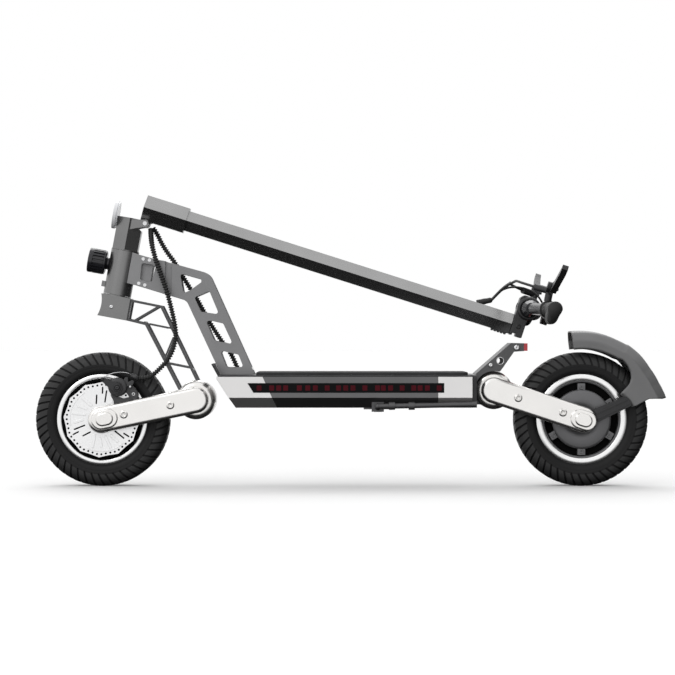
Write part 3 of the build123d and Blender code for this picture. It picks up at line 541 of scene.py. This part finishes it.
def make_front_wheel(fin):
    make_tyre("front_tyre_tread", FRONT_AXLE, "front_wheel", "front_tyre", fin)
    place(lathe("front_rim_ring", ring_profile(77.2), FRONT_AXLE), fin["bright"], "front_wheel",
          "anodised_silver", "front_rim")
    # barrel, web and hub in the near-black that paints the shade inside the rim
    barrel = lathe("front_rim_barrel", [(70.5, -24), (77.1, -28), (77.1, 28), (70.5, 24)], FRONT_AXLE)
    web = plate("web", circle(FRONT_AXLE, 72, 96), -21, 21, [circle(FRONT_AXLE, 7.2, 32)], 1.0)
    hub = [(7.1, -38), (20, -38), (22, -36), (22, 36), (20, 38.8), (7.1, 38.8)]
    hub = lathe("hub", hub, FRONT_AXLE, 64)
    place(join("front_hub", [barrel, web, hub]), fin["painted_shade"], "front_wheel", "painted_dark")
    line = [polar(FRONT_AXLE, r, 300) for r in (58, 64, 64.2, 72)]
    valve = sweep("front_valve", [Vector((x * MM, 0, z * MM)) for x, z in line], [2.2, 2.2, 3.0, 3.2])
    place(valve, fin["rubber"], "front_wheel", "rubber")


ROTOR_PHASE = 26        # degrees, first point of the rotor's edge
THIRDS = (0, 120, 240)  # the rotor's pattern repeats at each


def rotor_edge():
    """Star-shaped edge with twelve shallow points."""
    return [polar(FRONT_AXLE, 72.4 if k % 2 == 0 else 69.2, ROTOR_PHASE + 15 * k) for k in range(24)]


def slot_outline(r0, a0, r1, a1, width):
    """Slot between two polar points of the rotor."""
    p, q = Vector(polar(FRONT_AXLE, r0, a0)), Vector(polar(FRONT_AXLE, r1, a1))
    n = (q - p).normalized().orthogonal() * width / 2
    return rounded([tuple(p + n), tuple(q + n), tuple(q - n), tuple(p - n)], width * 0.4, 3)


def make_rotor(fin):
    """Front brake disc: rows of holes, slots, and plain raised ribs on its outer face."""
    holes = [circle(FRONT_AXLE, 16.5, 40)]
    for k in range(12):
        a, b = (Vector(polar(FRONT_AXLE, 67.2, ROTOR_PHASE + 30 * n)) for n in (k, k + 1))
        holes += [circle(tuple(a.lerp(b, (j + 0.5) / 4)), 1.9, 12) for j in range(4)]
    for turn in THIRDS:
        holes.append(slot_outline(33, 199 + turn, 56, 200 + turn, 2.6))
        holes.append(slot_outline(49, 208 + turn, 62, 208 + turn, 2.6))
        holes.append(slot_outline(31, 229 + turn, 48, 221 + turn, 2.6))
    disc = plate("front_disc", rotor_edge(), -40.5, -38.2, holes, 0.25)
    ribs = []
    for turn in THIRDS:
        for k in range(4):
            a, odd = 246 + turn + 18 * k, k % 2
            outline = slot_outline(31 + 3 * odd, a, 57 - 4 * odd, a + 6, 5.0)
            ribs.append(plate(f"rib{turn}_{k}", outline, -41.1, -40.4, bevel=0.25))
        arc = ([polar(FRONT_AXLE, 61.5, 242 + turn + 5 * j) for j in range(15)]
               + [polar(FRONT_AXLE, 59.5, 312 + turn - 5 * j) for j in range(15)])
        ribs.append(plate(f"arc{turn}", arc, -41.0, -40.4, bevel=0.2))
    carrier = lathe("carrier", [(12.3, -42), (24, -42), (26, -41), (26, -38), (12.3, -38)], FRONT_AXLE, 64)
    place(join("front_brake_disc", [disc, carrier, *ribs]), fin["rotor"], "front_wheel", "steel",
          "front_rotor")


def make_rear_wheel(fin):
    """Hub motor: bright rim, a grey cover each side with six bolted lugs, and a core in the near-black that
    paints the shade of its recess.
    """
    make_tyre("rear_tyre_tread", REAR_AXLE, "rear_wheel", "rear_tyre", fin)
    place(lathe("rear_rim_ring", ring_profile(74.0), REAR_AXLE), fin["bright"], "rear_wheel",
          "anodised_silver", "motor_wheel")
    step = [(70.2, -24), (71, -25.5), (74.9, -26.5), (74.9, 26.5), (71, 25.5), (70.2, 24)]
    parts = [lathe("rim_step", step, REAR_AXLE)]
    for side in (-1, 1):
        cover = [(8.2, side * 16), (8.2, side * 31.5), (40, side * 31.5), (52, side * 30.8),
                 (55, side * 29.8), (56.5, side * 27.5), (56.5, side * 16)]
        parts.append(lathe(f"cover{side}", cover[::-side], REAR_AXLE, 128))
        for k in range(6):
            a = 30 + 60 * k
            c, s = cos(radians(a)), sin(radians(a))
            lug = [(REAR_AXLE[0] + u * c - v * s, REAR_AXLE[1] + u * s + v * c)
                   for u, v in ((53, -7.5), (68.5, -7.5), (68.5, 7.5), (53, 7.5))]
            low, high = sorted((side * 17, side * 27))
            parts.append(plate(f"lug{side}_{k}", rounded(lug, 2), low, high, bevel=0.8))
            bolt = polar(REAR_AXLE, 61, a)
            low, high = sorted((side * 26.8, side * 29.6))
            parts.append(plate(f"bolt{side}_{k}", circle(bolt, 4.2, 20), low, high,
                               holes=[circle(bolt, 1.9, 6)], bevel=0.4))
    place(join("motor_covers", parts), fin["cover"], "rear_wheel", "painted_grey")
    # drum and boss in the near-black that paints the shade in the recess between cover and rim
    drum = [(8.2, -17.5), (70.4, -17.5), (70.4, 17.5), (8.2, 17.5)]
    drum = lathe("motor_drum", drum, REAR_AXLE, 96, False)
    boss = [(8.2, -38.8), (20, -38.8), (22, -37), (22, 37), (20, 38.8), (8.2, 38.8)]
    boss = lathe("boss", boss, REAR_AXLE, 64)
    place(join("motor_core", [drum, boss]), fin["painted_shade"], "rear_wheel", "painted_dark")


# ------------------------------------------------------------ rear fender
# (degrees, radius) about the rear axle: the fender's lower edge and its top
FENDER_FRONT, FENDER_TIP = 97, 14.3
EDGE_LINE = [(FENDER_FRONT, 134.5), (60, 134.5), (56, 137.0), (50, 134.0), (44, 128.0), (40, 121.0),
             (37, 112.0), (35, 100.0), (34.4, 88.0), (33.5, 86.0), (FENDER_TIP, 96.7)]
TOP_LINE = [(FENDER_FRONT, 166.0), (80, 165.2), (66, 163.5), (59, 163.8), (57.5, 165.2), (48, 164.0),
            (37, 161.0), (25, 161.2), (FENDER_TIP, 164.4)]


def on_line(table, angle):
    """Radius at an angle, between the table's points."""
    for (a0, v0), (a1, v1) in zip(table, table[1:]):
        if a1 <= angle <= a0:
            t = (a0 - angle) / (a0 - a1)
            return v0 + (v1 - v0) * t
    return table[-1][1]


def make_fender(fin):
    """One moulded sheet: deep side walls, rounded shoulders and a domed crown."""
    steps, half, shoulder = 90, 44.0, 17.0
    verts = []
    for i in range(steps + 1):
        a = FENDER_FRONT + (FENDER_TIP - FENDER_FRONT) * i / steps
        top, low = on_line(TOP_LINE, a), on_line(EDGE_LINE, a)
        wall = [low + (top - shoulder - low) * k / 7 for k in range(8)]
        side = [(r, half + (1.0 if k else 0.0)) for k, r in enumerate(wall)]
        bend = [(top - shoulder + 1.2, half + 0.8), (top - shoulder + 2.2, half + 0.1)]
        facet = [(top - 6.5, 38.4), (top - 2.6, 35.0), (top - 1.6, 33.6), (top - 1.0, 31.8)]
        crown = [(top - 0.4 + 1.2 * (1 - (y / 30) ** 2), y) for y in (28, 21, 14, 7)]
        profile = side + bend + facet + crown
        profile = profile + [(top + 0.8, 0.0)] + [(r, -y) for r, y in reversed(profile)]
        rows = len(profile)
        for r, y in profile:
            notch = max(0.0, 1 - abs(r - 131) / 27) * 3.1 * max(0.0, (i / steps - 0.8) / 0.2)
            x, z = polar(REAR_AXLE, r, a + notch)
            verts.append((x * MM, y * MM, z * MM))
    faces = [(i * rows + k, (i + 1) * rows + k, (i + 1) * rows + k + 1, i * rows + k + 1)
             for i in range(steps) for k in range(rows - 1)]
    fender = new_mesh("rear_fender_shell", verts, faces, True)
    solid = fender.modifiers.new("sheet", "SOLIDIFY")
    solid.thickness, solid.offset = 2.4 * MM, -1
    place(fender, fin["fender"], "rear_arms", "painted_grey", "rear_fender")


# ------------------------------------------------------------ cords
BRAKE_LINE = [(-381.5, -8, 490.0), (-380.2, -24, 468.5), (-371.4, -34, 434.2), (-355.1, -40, 390.1),
              (-346.3, -42, 364.6), (-335.0, -44, 318.8), (-331.0, -44, 294.8), (-331.9, -44, 278.9),
              (-336.5, -44, 259.9), (-346.1, -45, 240.8), (-358.8, -46, 226.6), (-374.7, -47, 211.7),
              (-387.5, -48, 205.4), (-400.8, -48, 205.6)]
NECK_LINE = [(-378.1, 8, 492.6), (-371.4, 6, 484.1), (-361.6, 3, 463.5), (-349.2, 0, 444.0),
             (-338.0, 0, 430.1), (-321.5, 0, 401.0), (-306.0, 0, 376.3), (-292.6, 0, 355.2),
             (-281.1, 0, 334.1), (-269.6, 0, 312.1), (-244.7, 0, 273.7), (-226.0, 0, 250.5),
             (-213.2, 0, 217.2)]


RIB_RADII = (5.2, 5.2, 3.2, 3.2)    # rib and valley, repeated along the hose
RIB_SPACING = 1.25
INNER_WIRE = ((-414, -48, 211.9), (-424, -49, 216.5), (-436, -52, 217.5), (-448, -56, 216.2),
              (-460, -59, 212), (-467.5, -61.2, 207.6))


def ribbed_conduit(name, route):
    """Hose with square ribs, along a route in millimetres."""
    points = route_points(route, RIB_SPACING)
    return sweep(name, points, [RIB_RADII[i % 4] for i in range(len(points))], 16)


def make_cords(fin):
    """Both ribbed hoses and the bare brake wire, swept along fixed routes."""
    brake = ribbed_conduit("brake_hose", BRAKE_LINE)
    brake.data.materials.append(fin["rubber"])
    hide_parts("brake_conduit")
    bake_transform(brake)
    neck = ribbed_conduit("neck_hose", NECK_LINE)
    neck.data.materials.append(fin["rubber"])
    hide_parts("neck_conduit")
    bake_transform(neck)
    wire = [Vector((x * MM, y * MM, z * MM)) for x, y, z in INNER_WIRE]
    inner = sweep("brake_wire", wire, [0.9] * len(wire), 10)
    inner.data.materials.append(fin["steel"])
    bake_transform(inner)


# ------------------------------------------------------------ deck lights
TILE_X = (-171.3, -147.7, -134.5, -121.5, -95.9, -80, -65.8, -43.6, -22.3, -8.9, 4.7, 27.1, 50.7, 61.6,
          75.2, 96.9, 118.6, 130.5, 144.1, 166.3)
TILE_LOW, TILE_HIGH, TILE_HALF = 183.6, 193.6, 4.6


def make_deck_lights(fin):
    """Twenty dim red tiles on each side strip of the deck."""
    for side, name in ((-1, "left"), (1, "right")):
        tiles = []
        for k, x in enumerate(TILE_X):
            left, right = x - TILE_HALF, x + TILE_HALF
            corners = [(left, TILE_LOW), (right, TILE_LOW), (right, TILE_HIGH), (left, TILE_HIGH)]
            tiles.append(plate(f"tile{k}", rounded(corners, 1.2, 3),
                               *sorted((side * 100.2, side * 100.9)), bevel=0.15))
        place(join(f"light_tiles_{name}", tiles), fin["tile"], "frame", "red_lens")


# ------------------------------------------------------------ shared shapes
def head_point(x, y, z):
    """Point in the steering head's own axes, z up along it from its top."""
    return Vector(((HEAD_TOP[0] + x * cos(RAKE) + z * sin(RAKE)) * MM, y * MM,
                   (HEAD_TOP[1] - x * sin(RAKE) + z * cos(RAKE)) * MM))


def stem_point(xi, eta, y=0.0):
    """Point at xi along the stem from the hinge and eta above its line."""
    return Vector(((PIN[0] + xi * sin(TILT) - eta * cos(TILT)) * MM, y * MM,
                   (PIN[1] + xi * cos(TILT) + eta * sin(TILT)) * MM))


def stadium(p, q, radius, steps=28):
    """Outline of a strip with round ends between two (x, z) points."""
    start = Vector((q[0] - p[0], q[1] - p[1])).angle_signed(Vector((1, 0)))
    out = []
    for end, first in ((q, start - pi / 2), (p, start + pi / 2)):
        turns = [first + pi * k / steps for k in range(steps + 1)]
        out += [(end[0] + radius * cos(t), end[1] + radius * sin(t)) for t in turns]
    return out


def layered(name, outlines, levels):
    """Solid through matching outlines, each at its own y, closed at both ends."""
    verts = [(x * MM, y * MM, z * MM) for outline, y in zip(outlines, levels) for x, z in outline]
    faces = tube_faces(len(levels), len(outlines[0]))
    if levels[0] < levels[-1]:
        faces = [f[::-1] for f in faces]
    obj = new_mesh(name, verts, faces, True)
    for polygon in obj.data.polygons:
        polygon.use_smooth = len(polygon.vertices) == 4
    return obj


def domed_stadium(name, p, q, radius, side, low, high, edge, steps=5):
    """Round-ended strip whose outer rim rolls over by the edge radius."""
    turns = [pi / 2 * k / steps for k in range(steps + 1)]
    outlines = [stadium(p, q, radius)] + [stadium(p, q, radius - edge + edge * cos(t)) for t in turns]
    levels = [side * low] + [side * (high - edge + edge * sin(t)) for t in turns]
    return layered(name, outlines, levels)


# ------------------------------------------------------------ suspension
def make_arm(fin, side, name, end, pivot, axle, boss_x, screws):
    """Cast swing arm: rolled edges, a two-step boss and two recessed screws."""
    inner, outer, radius = 48.0, 62.0, 24.5
    along = Vector((axle[0] - pivot[0], axle[1] - pivot[1])).normalized()
    middle = Vector(pivot) + along * ((boss_x - pivot[0]) / along.x)

    def around(half):
        return tuple(middle - along * half), tuple(middle + along * half)

    parts = [domed_stadium("beam", pivot, axle, radius, side, inner, outer, 6.5),
             domed_stadium("boss", *around(7.0), 18.0, side, outer - 2, outer + 3.4, 2.4),
             domed_stadium("cap", *around(4.2), 12.2, side, outer + 1, outer + 6.9, 2.6)]
    for k, (x, z) in enumerate(screws):
        ring = [(3.4, side * (outer - 1)), (3.4, side * (outer + 1.4)), (4.4, side * (outer + 2.0)),
                (6.0, side * (outer + 1.8)), (7.2, side * (outer + 0.4)), (7.4, side * (outer - 1))]
        parts.append(lathe(f"ring{k}", ring[::-side], (x, z), 40))
        head = [(0.01, side * (outer - 1)), (0.01, side * (outer + 0.2)), (1.6, side * (outer + 0.2)),
                (1.9, side * (outer + 0.9)), (3.3, side * (outer + 0.9)), (3.3, side * (outer - 1))]
        parts.append(lathe(f"head{k}", head[::-side], (x, z), 24, False))
    place(join(f"{end}_arm_cast_{name}", parts), fin["silver"], f"{end}_arms", "anodised_silver",
          f"{end}_arm_{name}")


def make_drum(fin, end, body, centre, radius):
    """Turned pivot drum with fully rounded rims and a fine groove near each end."""
    edge, half_width, bore = 11.0, 45, 12.1
    arc = [(radius - edge + edge * sin(radians(a)), half_width - edge + edge * cos(radians(a)))
           for a in range(0, 91, 9)]
    groove_line = [(radius, 30.0), (radius - 0.8, 29.3), (radius - 0.8, 27.9), (radius, 27.2)]
    half = [(bore, half_width)] + arc + groove_line
    profile = half + [(r, -y) for r, y in reversed(half)]
    place(lathe(f"{end}_drum_turned", profile, centre, 144), fin["silver"], body, "anodised_silver",
          f"{end}_pivot_drum")


def make_suspension(fin):
    front_screws = ((-428.5, 137.8), (-340.5, 155.3))
    rear_screws = ((317.5, 169.0), (402.0, 141.5))
    for side, name in ((-1, "left"), (1, "right")):
        make_arm(fin, side, name, "front", FRONT_DRUM, FRONT_AXLE, -465.0, front_screws)
        make_arm(fin, side, name, "rear", REAR_DRUM, REAR_AXLE, 441.0, rear_screws)
    make_drum(fin, "front", "fork", FRONT_DRUM, 37.0)
    make_drum(fin, "rear", "frame", REAR_DRUM, 36.2)


# ------------------------------------------------------------ headlight, screws, caliper
def make_headlight(fin):
    """Finned lamp body with a plain bezel, square to the steering axis."""
    profile = [(-31.4, 8.0), (-31.4, 19.0), (-33.0, 22.6), (-35.6, 22.8), (-36.6, 20.4), (-40, 20.4),
               (-48, 20.4), (-56.0, 20.4), (-57.0, 22.8), (-58.5, 23.3), (-64.5, 23.3), (-65.7, 22.4),
               (-65.7, 20.9), (-60.0, 20.4), (-60.0, 8.0)]
    fin_rows, fin_radius, fins, steps, lamp_z = range(4, 8), 23.2, 20, 240, -92.4
    verts, faces, count = [], [], len(profile)
    for i in range(steps):
        a = 2 * pi * i / steps
        proud = (a * fins / (2 * pi)) % 1.0 < 0.52
        for k, (x, r) in enumerate(profile):
            if k in fin_rows and proud:
                r = fin_radius
            verts.append(head_point(x, r * cos(a), lamp_z + r * sin(a)))
    for i in range(steps):
        j = (i + 1) % steps
        faces += [(i * count + k, j * count + k, j * count + (k + 1) % count, i * count + (k + 1) % count)
                  for k in range(count - 1)]
    shell = new_mesh("lamp_shell", verts, faces)
    foot = sweep("lamp_foot", [head_point(x, 0, -93.5) for x in (-33, -29, -25.5)], [12, 11, 12.5], 24)
    place(join("headlight_shell", [shell, foot]), fin["gloss"], "frame", "painted_dark", "headlight_body")


def knob(name, centre, side, level, radius, height, hole=0.0):
    """Low round screw head on a side face at |y| = level."""
    top, inside = level + height, max(hole, 0.01)
    profile = [(inside, side * (level - 0.5)), (inside, side * (top - (0.8 if hole else 0))),
               (radius * 0.55, side * top), (radius * 0.85, side * (top - 0.15 * height)),
               (radius, side * (level + 0.4 * height)), (radius, side * (level - 0.5))]
    return lathe(name, profile[::-side], centre, 28)


def make_screw_heads(fin):
    """Bright heads and the lined eye on the tail bracket, and a head on each side of the fork crown."""
    tail, crown = [], []
    for side in (-1, 1):
        for k, (centre, r) in enumerate((((315.3, 264.0), 5.2), ((266.2, 231.0), 3.9))):
            tail.append(knob(f"tail{side}_{k}", centre, side, 52.0, r, 1.6))
        eye = [(6.1, side * 49.6), (6.1, side * 51.2), (7.4, side * 51.2), (7.6, side * 49.6)]
        tail.append(lathe(f"eye{side}", eye[::-side], (284.2, 238.9), 32))
        crown.append(knob(f"crown{side}", (-454.6, 341.8), side, 34.0, 3.6, 1.4))
    place(join("tail_screws", tail), fin["steel"], "frame", "steel")
    place(join("crown_screws", crown), fin["steel"], "fork", "steel")


def make_caliper(fin):
    """Cable caliper: bracket with a window, actuator housing, pads, small bolts and the moving arm."""
    bracket = [(-461.0, 190.0), (-455.0, 199.0), (-446.0, 203.0), (-430.0, 203.0), (-424.0, 196.0),
               (-414.0, 193.0), (-406.0, 186.0), (-403.0, 176.0), (-408.0, 164.0), (-420.0, 158.0),
               (-440.0, 153.0), (-449.0, 154.0), (-449.0, 164.0), (-454.0, 171.0), (-455.0, 180.0)]
    window = [(-449.5, 180.0), (-441.0, 175.0), (-431.0, 175.0), (-425.0, 179.0), (-419.5, 170.5),
              (-430.5, 167.5), (-447.0, 173.0)]
    parts = [plate("bracket", rounded(bracket, 4), -47.8, -42.0, [rounded(window, 1.5, 3)], 0.6)]
    housing = [(18.0, -42), (18.0, -52), (17.4, -54.4), (15.5, -55.6), (0.01, -55.6), (0.01, -42)]
    parts.append(lathe("housing", housing, (-441.0, 189.5), 64))
    lug = [(-416.0, 186.0), (-404.0, 184.0), (-400.5, 174.0), (-405.0, 165.0), (-414.0, 166.0),
           (-419.0, 176.0)]
    parts.append(plate("lug", rounded(lug, 5), -55.0, -44.0, bevel=1.0))
    horn = [(-431.0, 200.0), (-427.0, 208.0), (-421.0, 208.0), (-421.0, 199.0), (-413.0, 203.0),
            (-409.0, 199.0), (-414.0, 191.0), (-424.0, 190.0)]
    parts.append(plate("horn", rounded(horn, 2), -53.0, -45.0, bevel=0.8))
    pads = [(-454.0, 196.0), (-430.0, 196.0), (-424.0, 184.0), (-436.0, 177.0), (-452.0, 182.0)]
    parts.append(plate("pads", rounded(pads, 3), -37.0, -33.4, bevel=0.6))
    bridge = [(-452.0, 203.0), (-432.0, 203.0), (-430.0, 199.5), (-454.0, 199.5)]
    parts.append(plate("bridge", rounded(bridge, 1), -44.0, -35.6, bevel=0.4))
    ferrule = ((-402.6, 205.1), (-408.0, 208.3), (-416.0, 213.0))
    parts.append(sweep("ferrule", [Vector((x * MM, -0.048, z * MM)) for x, z in ferrule],
                       [4.8, 4.8, 3.4], 20))
    place(join("caliper_body", parts), fin["shell"], "front_arms", "painted_dark", "front_caliper")
    arm_pivot = (-441.0, 188.0)
    dome = knob("dome", arm_pivot, -1, 60.6, 4.6, 2.2)
    bolts = [knob("lug_bolt", (-410.5, 176.0), -1, 55.0, 3.4, 1.4, 1.5),
             knob("horn_bolt", (-417.0, 190.0), -1, 53.0, 2.2, 1.2)]
    place(join("caliper_bolts", bolts), fin["steel"], "front_arms", "steel")
    arm = [(-430.5, 188.0), (-433.0, 180.5), (-441.0, 177.2), (-449.0, 180.5), (-460.0, 191.0),
           (-473.0, 203.0), (-469.5, 209.0), (-461.0, 205.0), (-447.0, 198.6), (-437.0, 197.5)]
    blade = plate("arm", rounded(arm, 3), -60.4, -57.3, bevel=0.5)
    collar = [(8.0, -57.5), (7.6, -61.0), (6.4, -61.9), (4.9, -61.6), (4.9, -57.5)]
    collar = lathe("collar", collar, arm_pivot, 40)
    nut = knob("clamp_nut", (-469.0, 204.7), -1, 60.4, 3.0, 2.4)
    place(join("brake_arm_blade", [blade, collar, dome, nut]), fin["dark"], "caliper_arm", "painted_dark",
          "front_brake_arm")


# ------------------------------------------------------------ handlebar
# cable routes as (along the stem, above it, y)
LEVER_LINE = [(675, 61, -5), (683, 78, -8), (693, 95, -22), (704, 107, -56), (704, 107, -90),
              (713, 105, -121), (736, 104, -149)]
DISPLAY_LINE = [(675, 61, 0), (683, 80, 8), (700, 96, 26), (725, 104, 43), (750, 103, 50),
                (768, 95, 51), (780.6, 80, 50)]


def make_bar_cables(fin):
    """Tapered boot on the stem and the thin cables to both levers and the display."""
    def through(route, flip=1):
        return [tuple(c / MM for c in stem_point(xi, eta, y * flip)) for xi, eta, y in route]

    boot = [stem_point(650 + 26 * t, 47.6 + 14.4 * t) for t in (0.0, 0.1, 0.3, 0.5, 0.7, 0.9, 1.0)]
    parts = [sweep("boot", boot, [5.6, 6.0, 5.6, 5.9, 5.2, 5.4, 3.8], 20)]
    for k, (route, radius) in enumerate(((through(LEVER_LINE), 2.5), (through(LEVER_LINE, -1), 2.5),
                                         (through(DISPLAY_LINE), 2.0))):
        points = route_points(route, 3.0)
        parts.append(sweep(f"lead{k}", points, [radius] * len(points), 16))
    place(join("bar_leads", parts), fin["rubber"], "stem", "rubber", "bar_cables")


def make_clamp(fin):
    """Bar clamp: faceted block with a groove, a screw and a boss on each side, and the toothed catch."""
    def at(pairs):
        points = [stem_point(xi, eta) for xi, eta in pairs]
        return [(p.x / MM, p.z / MM) for p in points]

    outline = at([(726, 9), (731, 9), (731, 14), (738, 14), (738, 8.5), (750.5, 8.5), (751, 50), (764, 58),
                  (764, 76), (751, 89), (732, 89), (726, 82)])
    groove_line = at([(730, 63.6), (751, 63.6), (751, 65.0), (730, 65.0)])
    parts = [plate("block", rounded(outline, 1.6, 3), -20.6, 20.6, bevel=1.2)]
    centre, screw = at([(747.7, 66.3), (738.5, 28)])
    for side in (-1, 1):
        boss = [(16.0, side * 18), (16.0, side * 25.0), (19.0, side * 25.0), (21.5, side * 24.0),
                (22.9, side * 21.5), (22.9, side * 18)]
        parts.append(lathe(f"boss{side}", boss[::-side], centre, 64))
        parts.append(knob(f"screw{side}", screw, side, 20.4, 4.6, 1.8, 2.2))
        parts.append(plate(f"groove{side}", groove_line, *sorted((side * 20.4, side * 20.9))))
    tooth = ((691, 6.2), (694, 6.2), (695, 9.0))
    teeth = [(xi + 6.4 * k, eta) for k in range(5) for xi, eta in tooth]
    parts.append(plate("catch", at([(690, 10), *teeth, (724, 10.4)]), -8, 8, bevel=0.3))
    place(join("clamp_block", parts), fin["dark"], "stem", "painted_dark", "handlebar_clamp")


# distances along a grip, from the scooter's middle, in millimetres
GRIP_START, GRIP_ROWS, GRIP_STEP = 173.0, 183, 0.75
FLANGE_END, RIBS_START, RIBS_END, ROLL_START = 178, 184, 246, 307.5
GRIP_RADIUS, FLANGE_RADIUS, WING_REACH, WING_HALF = 13.5, 16.3, 15.0, 8


def grip_radius(y):
    """Radius without the wing: flange, ribbed part, smooth part and rolled end."""
    if y < FLANGE_END:
        return FLANGE_RADIUS - max(0, GRIP_START + 1 - y)
    if RIBS_START < y < RIBS_END:
        return GRIP_RADIUS - 0.9 * (1 if (y % 4.5) < 1.3 else 0)
    if y > ROLL_START:
        return GRIP_RADIUS - (y - ROLL_START) * 0.7
    return GRIP_RADIUS


def make_grip(fin, side, name):
    """Ribbed rubber grip with a flange and a palm wing on the rider's side."""
    steps, verts = 64, []
    for y in (GRIP_START + GRIP_STEP * i for i in range(GRIP_ROWS)):
        rise = min(1.0, (y - RIBS_END) / 14.0) if y > RIBS_END else 0.0
        for k in range(steps):
            a = 2 * pi * k / steps
            wing = WING_REACH * rise * max(0.0, cos(a)) ** 6
            r = grip_radius(y) + wing
            along, out = r * sin(a), -r * cos(a)
            if wing and abs(along) > WING_HALF:
                limit = WING_HALF * (1 if along > 0 else -1)
                along = limit + (along - limit) * 0.9
            verts.append(stem_point(BAR_TIP[0] + along, BAR_TIP[1] + out, side * y))
    faces = tube_faces(GRIP_ROWS, steps)
    if side > 0:
        faces = [f[::-1] for f in faces]
    grip = new_mesh(f"grip_rubber_{name}", verts, faces, True)
    place(grip, fin["rubber"], "stem", "rubber", f"grip_{name}")


# ------------------------------------------------------------ CAD nodes' finishes, whole scene
CAD_FINISH = {
    "deck_shell": "deck", "deck_nose": "panel", "deck_tail": "panel", "rear_plate": "dark",
    "deck_lid": "dark", "foot_mat": "mat", "battery_pack": "wrap", "motor_controller": "silver",
    "side_lights": "strip",
    "neck_plates": "grey", "neck_head_block": "grey", "neck_hardware": "steel", "head_tube": "column",
    "headset_bearings": "steel", "headlight_body": "gloss", "headlight_lens": "clear",
    "steering_column": "column", "hinge_pin": "steel", "front_reflector": "white",
    "fork_crown": "column", "fork_truss": "truss", "stem_tube": "stem", "stem_foot": "dark",
    "lock_collar": "stem", "handlebar_clamp": "dark", "handlebar": "gloss", "lever_perches": "dark",
    "display_unit": "plastic", "throttle_trigger": "plastic", "bar_cables": "rubber",
    "tail_bracket": "truss", "tail_light": "red", "rear_rotor": "steel", "fender_stay": "dark",
    "front_caliper": "dark", "front_brake_arm": "dark", "kickstand_bracket": "truss",
    "kickstand_leg": "truss",
    "brake_lever_left": "dark", "brake_lever_right": "dark", "front_arm_left": "silver",
    "front_arm_right": "silver", "rear_arm_left": "silver", "rear_arm_right": "silver",
    "front_pivot_drum": "silver", "front_swing_shaft": "steel", "front_axle": "steel",
    "rear_pivot_drum": "silver", "rear_swing_shaft": "steel", "rear_axle": "steel",
}


def finish_cad(fin):
    """One finish on each CAD node that stays visible or is only stood in for."""
    for node, key in CAD_FINISH.items():
        mesh = NODES[node].data
        mesh.materials.clear()
        mesh.materials.append(fin[key])


def main():
    """Studio first, then every piece."""
    bpy.context.scene.view_settings.view_transform = "Standard"
    make_camera()
    make_world()
    make_stage()
    area_light("key", (-1.8, -2.6, 2.0), (0, 0, 0.2), (1.6, 1.2), 14)
    sun("back", (0.1, -0.62, -0.78), 1.1, 50)
    fin = finishes()
    finish_cad(fin)
    make_front_wheel(fin)
    make_rotor(fin)
    make_rear_wheel(fin)
    make_fender(fin)
    make_cords(fin)
    make_deck_lights(fin)
    make_suspension(fin)
    make_headlight(fin)
    make_caliper(fin)
    make_clamp(fin)
    make_bar_cables(fin)
    make_screw_heads(fin)
    make_grip(fin, -1, "left")
    make_grip(fin, 1, "right")


main()
